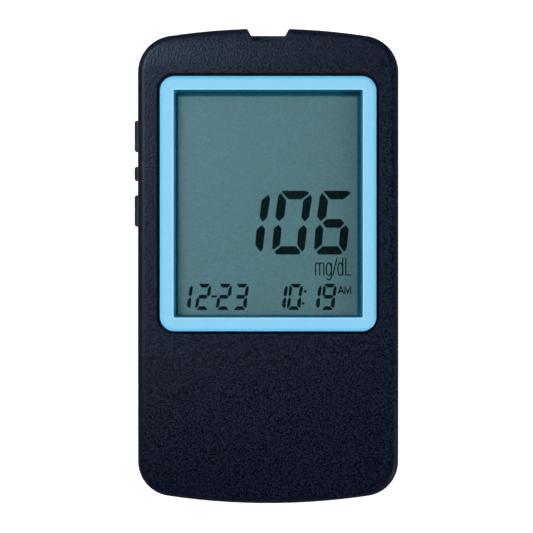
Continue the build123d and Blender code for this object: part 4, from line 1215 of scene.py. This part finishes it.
    def make(self) -> None:
        """Builds all of the board's fine parts."""
        self.chip_leads("microcontroller", (11, 11))
        self.chip_leads("speech_chip", (7, 0))
        self.capacitor_bases()
        self.traces()
        self.pads()
        self.solder()
        self.crystal_leads()
        self.switch_covers()


# ---- power and speaker


@dataclass
class BatteryBay:
    """The cells' bands, washers and signs, and the guide marks inside the door.

    Attributes:
        cells: Each cell's name, its axis along Y and the side of its positive end.
        axis_z: Height of both axes.
        radius: Radius of a cell.
        skin: How far a cell's band and signs stand out of its sleeve.
        nub: Length of a cell's positive end beyond its shoulder.
        band: Distance of the band's far end from the shoulder, and its length.
        signs: Distances of the plus and of the minus from the shoulder.
        sign_half: Half of a sign's length.
        door_z: Foot and top of the door's marks.
        door_cell: Half of the length and of the width of a cell's outline in the door.
        door_sign: Distance of the door's signs from the outline's middle.
        door_arm: Half of the length of those signs, and of the width of the outline's nub.
    """

    cells: tuple[tuple[str, float, int], ...] = (("lower", -40.2, -1), ("upper", -29.4, 1))
    axis_z: float = 7.9
    radius: float = 5.25
    skin: float = 0.03
    nub: float = 1.0
    band: Pair = (8.2, 7.0)
    signs: Pair = (4.7, 36.0)
    sign_half: float = 1.1
    door_z: Pair = (1.58, 1.8)
    door_cell: Pair = (17.0, 3.6)
    door_sign: float = 12.5
    door_arm: float = 1.3

    def along_x(self, form: Surface, x: float, y: float, side: int) -> Surface:
        """A form turned about Z, laid along X with its top towards the given side."""
        return form.turned([[0, 0, side], [0, 1, 0], [-side, 0, 0]]).moved(x, y, self.axis_z)

    def sign(self, y: float, x: float, cross: bool) -> list[Surface]:
        """A minus, or a plus, wrapped round a cell's front.

        A point at length t along the bar goes to the angle t / radius on the cell.

        Args:
            y: The cell's axis along Y.
            x: Middle of the sign.
            cross: Whether it is a plus.

        Returns:
            Its bars.
        """
        radius, width, sheet = self.radius + self.skin, 0.5, 0.04
        along = np.linspace(-self.sign_half, self.sign_half, 9)
        level = [[x + t, y, self.axis_z - radius] for t in along[::2]]
        bars = [swept(level, width, sheet, (0, 1, 0))]
        if cross:
            y_round, z_round = radius * np.sin(along / radius), -radius * np.cos(along / radius)
            ring = np.stack([np.full(9, x), y + y_round, self.axis_z + z_round], axis=1)
            bars.append(swept(ring, width, sheet, (1, 0, 0)))
        return bars

    def cell_trim(self) -> None:
        """Each cell's pale band, its insulating washer and its two signs."""
        inner, outer, (far, length) = self.radius - 0.1, self.radius + self.skin, self.band
        band = turned_form([[inner, 0], [outer, 0], [outer, length], [inner, length]], 48, loop=True)
        profile = [[1.95, -0.1], [4.5, -0.1], [4.5, 0.06], [4.3, 0.14], [2.1, 0.14], [1.95, 0.06]]
        washer = turned_form(profile, 40, loop=True)
        for name, y, side in self.cells:
            low, high = (np.array(corner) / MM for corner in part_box(f"{name}_battery"))
            shoulder = (high[0] if side > 0 else low[0]) - side * self.nub
            sleeve = self.along_x(band, shoulder - side * far, y, side)
            make_piece(f"{name}_cell_band", sleeve, BAND)
            seat = self.along_x(washer, shoulder, y, side)
            make_piece(f"{name}_cell_washer", seat, HOLDER)
            plus, minus = (shoulder - side * distance for distance in self.signs)
            signs = joined(self.sign(y, plus, True) + self.sign(y, minus, False))
            make_piece(f"{name}_cell_signs", signs, PRINT)

    def door_marks(self) -> None:
        """Raised outlines inside the door that show which way each cell lies."""
        (length, width), arm, line, bar = self.door_cell, self.door_arm, 0.4, 0.45
        marks: list[Surface] = []
        for _, y, side in self.cells:
            x = side * 0.5
            end, tip = x + side * length, x + side * (length + 1.4)
            plus, minus = x + side * self.door_sign, x - side * self.door_sign
            nub = [[end, y - arm], [tip, y - arm], [tip, y + arm], [end, y + arm]]
            marks += [
                stroke(SQUARE * [length, width] + [x, y], line, *self.door_z, closed=True),
                stroke(nub[::side], line, *self.door_z),
                stroke([[plus - arm, y], [plus + arm, y]], bar, *self.door_z),
                stroke([[plus, y - arm], [plus, y + arm]], bar, *self.door_z),
                stroke([[minus - arm, y], [minus + arm, y]], bar, *self.door_z),
            ]
        make_piece("door_marks", joined(marks), CASE, "battery_door")

    def make(self) -> None:
        """Builds the cells' trim and the door's marks."""
        self.cell_trim()
        self.door_marks()


@dataclass
class Speaker:
    """The gauze that lies between the grille and the speaker.

    Attributes:
        radius: Its radius.
        bottom: Its lower face.
        top: Its upper face.
        middle_y: The speaker's axis along Y.
    """

    radius: float = 8.35
    bottom: float = 1.80
    top: float = 1.88
    middle_y: float = 12.0

    def make(self) -> None:
        """Builds the gauze, a thin flat disc."""
        profile = [[0, self.bottom], [self.radius, self.bottom], [self.radius, self.top], [0, self.top]]
        disc = turned_form(profile, 64).moved(y=self.middle_y)
        make_piece("speaker_gauze", disc, GAUZE)


# ---- studio


@dataclass(frozen=True)
class Lamp:
    """A soft round area light that points at the meter.

    Attributes:
        name: The light's name.
        place: Where it stands, in metres.
        size: Its width, in metres.
        power: Its power, in watts.
        colour: Its colour.
        gloss: Whether it shows in gloss alone, or else lights surfaces alone.
    """

    name: str
    place: Triple
    size: float
    power: float
    colour: Colour
    gloss: bool

    def make(self) -> None:
        """Adds the light to the scene."""
        data = bpy.data.lights.new(self.name, "AREA")
        data.shape, data.size, data.energy, data.color = "DISK", self.size, self.power, self.colour
        light = placed(self.name, data)
        light.location = self.place
        light.rotation_mode = "QUATERNION"
        light.rotation_quaternion = (-Vector(self.place)).to_track_quat("-Z", "Y")
        light.visible_diffuse, light.visible_glossy = not self.gloss, self.gloss
        light.visible_camera = False


@dataclass
class Studio:
    """Pale floor, soft lights and the camera above the display.

    Attributes:
        distance: Height of the camera, in metres.
        lens: Its focal length.
        centre: Where it stands along X and Y.
        sky_low: Strength of the sky near the horizon.
        sky_top: Strength of the sky overhead.
        backdrop: Least strength of the sky that the camera itself sees.
        lamps: The lights.
    """

    distance: float = 1.6
    lens: float = 496.8
    centre: Pair = (-0.35, -0.1)
    sky_low: float = 0.20
    sky_top: float = 0.012
    backdrop: float = 0.85
    lamps: tuple[Lamp, ...] = (
        Lamp("key_light", (-0.52, 0.25, 1.05), 0.9, 11.1, (1.0, 0.985, 0.97), False),
        Lamp("fill_light", (0.95, -0.22, 0.60), 0.8, 10.9, (1.0, 0.99, 0.98), False),
        Lamp("sheen_light", (-0.15, 0.12, 0.26), 0.14, 1.3, (0.55, 0.75, 1.0), True),
        Lamp("rim_light", (0.90, -0.55, 0.16), 0.4, 2.2, (0.95, 0.98, 1.0), True),
    )

    def camera(self) -> None:
        """The camera looks straight down on the display."""
        data = bpy.data.cameras.new("camera")
        data.lens, data.clip_start, data.clip_end = self.lens, 0.05, 20.0
        eye = placed("camera", data)
        eye.location = (self.centre[0] * MM, self.centre[1] * MM, self.distance)
        bpy.context.scene.camera = eye

    def floor(self) -> None:
        """A large pale disc just under the back face."""
        disc = turned_form([[0, 0], [300, 0], [3000, 0]], 64).moved(z=-0.05)
        mesh = bpy.data.meshes.new("floor")
        mesh.from_pydata(disc.points * MM, [], [face[::-1] for face in disc.faces])
        made = bpy.data.materials.new("floor_paper")
        made.use_nodes = True
        bench = Bench(made.node_tree)
        place = bench.node("TexCoord").outputs["Object"]
        fibre = bench.group(Effects.grain(), Place=place, Size=1.5 * MM)
        bench.fill(made.node_tree.nodes["Principled BSDF"], {
            "Base Color": bench.mix(fibre.outputs["Tone"], (0.89, 0.89, 0.89), (0.91, 0.91, 0.91)),
            "Roughness": 0.9,
            "Specular IOR Level": 0.0,
            "Emission Color": (1.0, 1.0, 1.0, 1.0),
            "Emission Strength": 0.75,
        })
        mesh.materials.append(made)
        paper = placed("floor", mesh)
        paper.visible_glossy = False

    def sky(self) -> None:
        """The sky: pale near the horizon, dim overhead, and an even backdrop for the camera."""
        world = bpy.data.worlds.new("studio")
        world.use_nodes = True
        bench = Bench(world.node_tree)
        height = bench.split(bench.node("TexCoord").outputs["Generated"])["Z"]
        light = bench.spread(height, 0.05, 0.6, self.sky_low, self.sky_top)
        backdrop = bench.times(bench.node("LightPath").outputs["Is Camera Ray"], self.backdrop)
        shown = {"Color": (0.92, 0.96, 1.0, 1.0), "Strength": bench.math("MAXIMUM", light, backdrop)}
        bench.fill(world.node_tree.nodes["Background"], shown)
        bpy.context.scene.world = world

    def make(self) -> None:
        """Builds the sky, the camera, the floor and the lights."""
        bpy.context.scene.view_settings.view_transform = "Standard"
        self.sky()
        self.camera()
        self.floor()
        for lamp in self.lamps:
            lamp.make()


def main() -> None:
    """Builds the studio, dresses the solids and adds the fine pieces."""
    logging.basicConfig(level=logging.INFO, format="%(message)s")
    Studio().make()
    dress_nodes()
    for assembly in (Display(), SideKeys(), Electronics(), BatteryBay(), Speaker()):
        assembly.make()


if __name__ == "__main__":
    main()
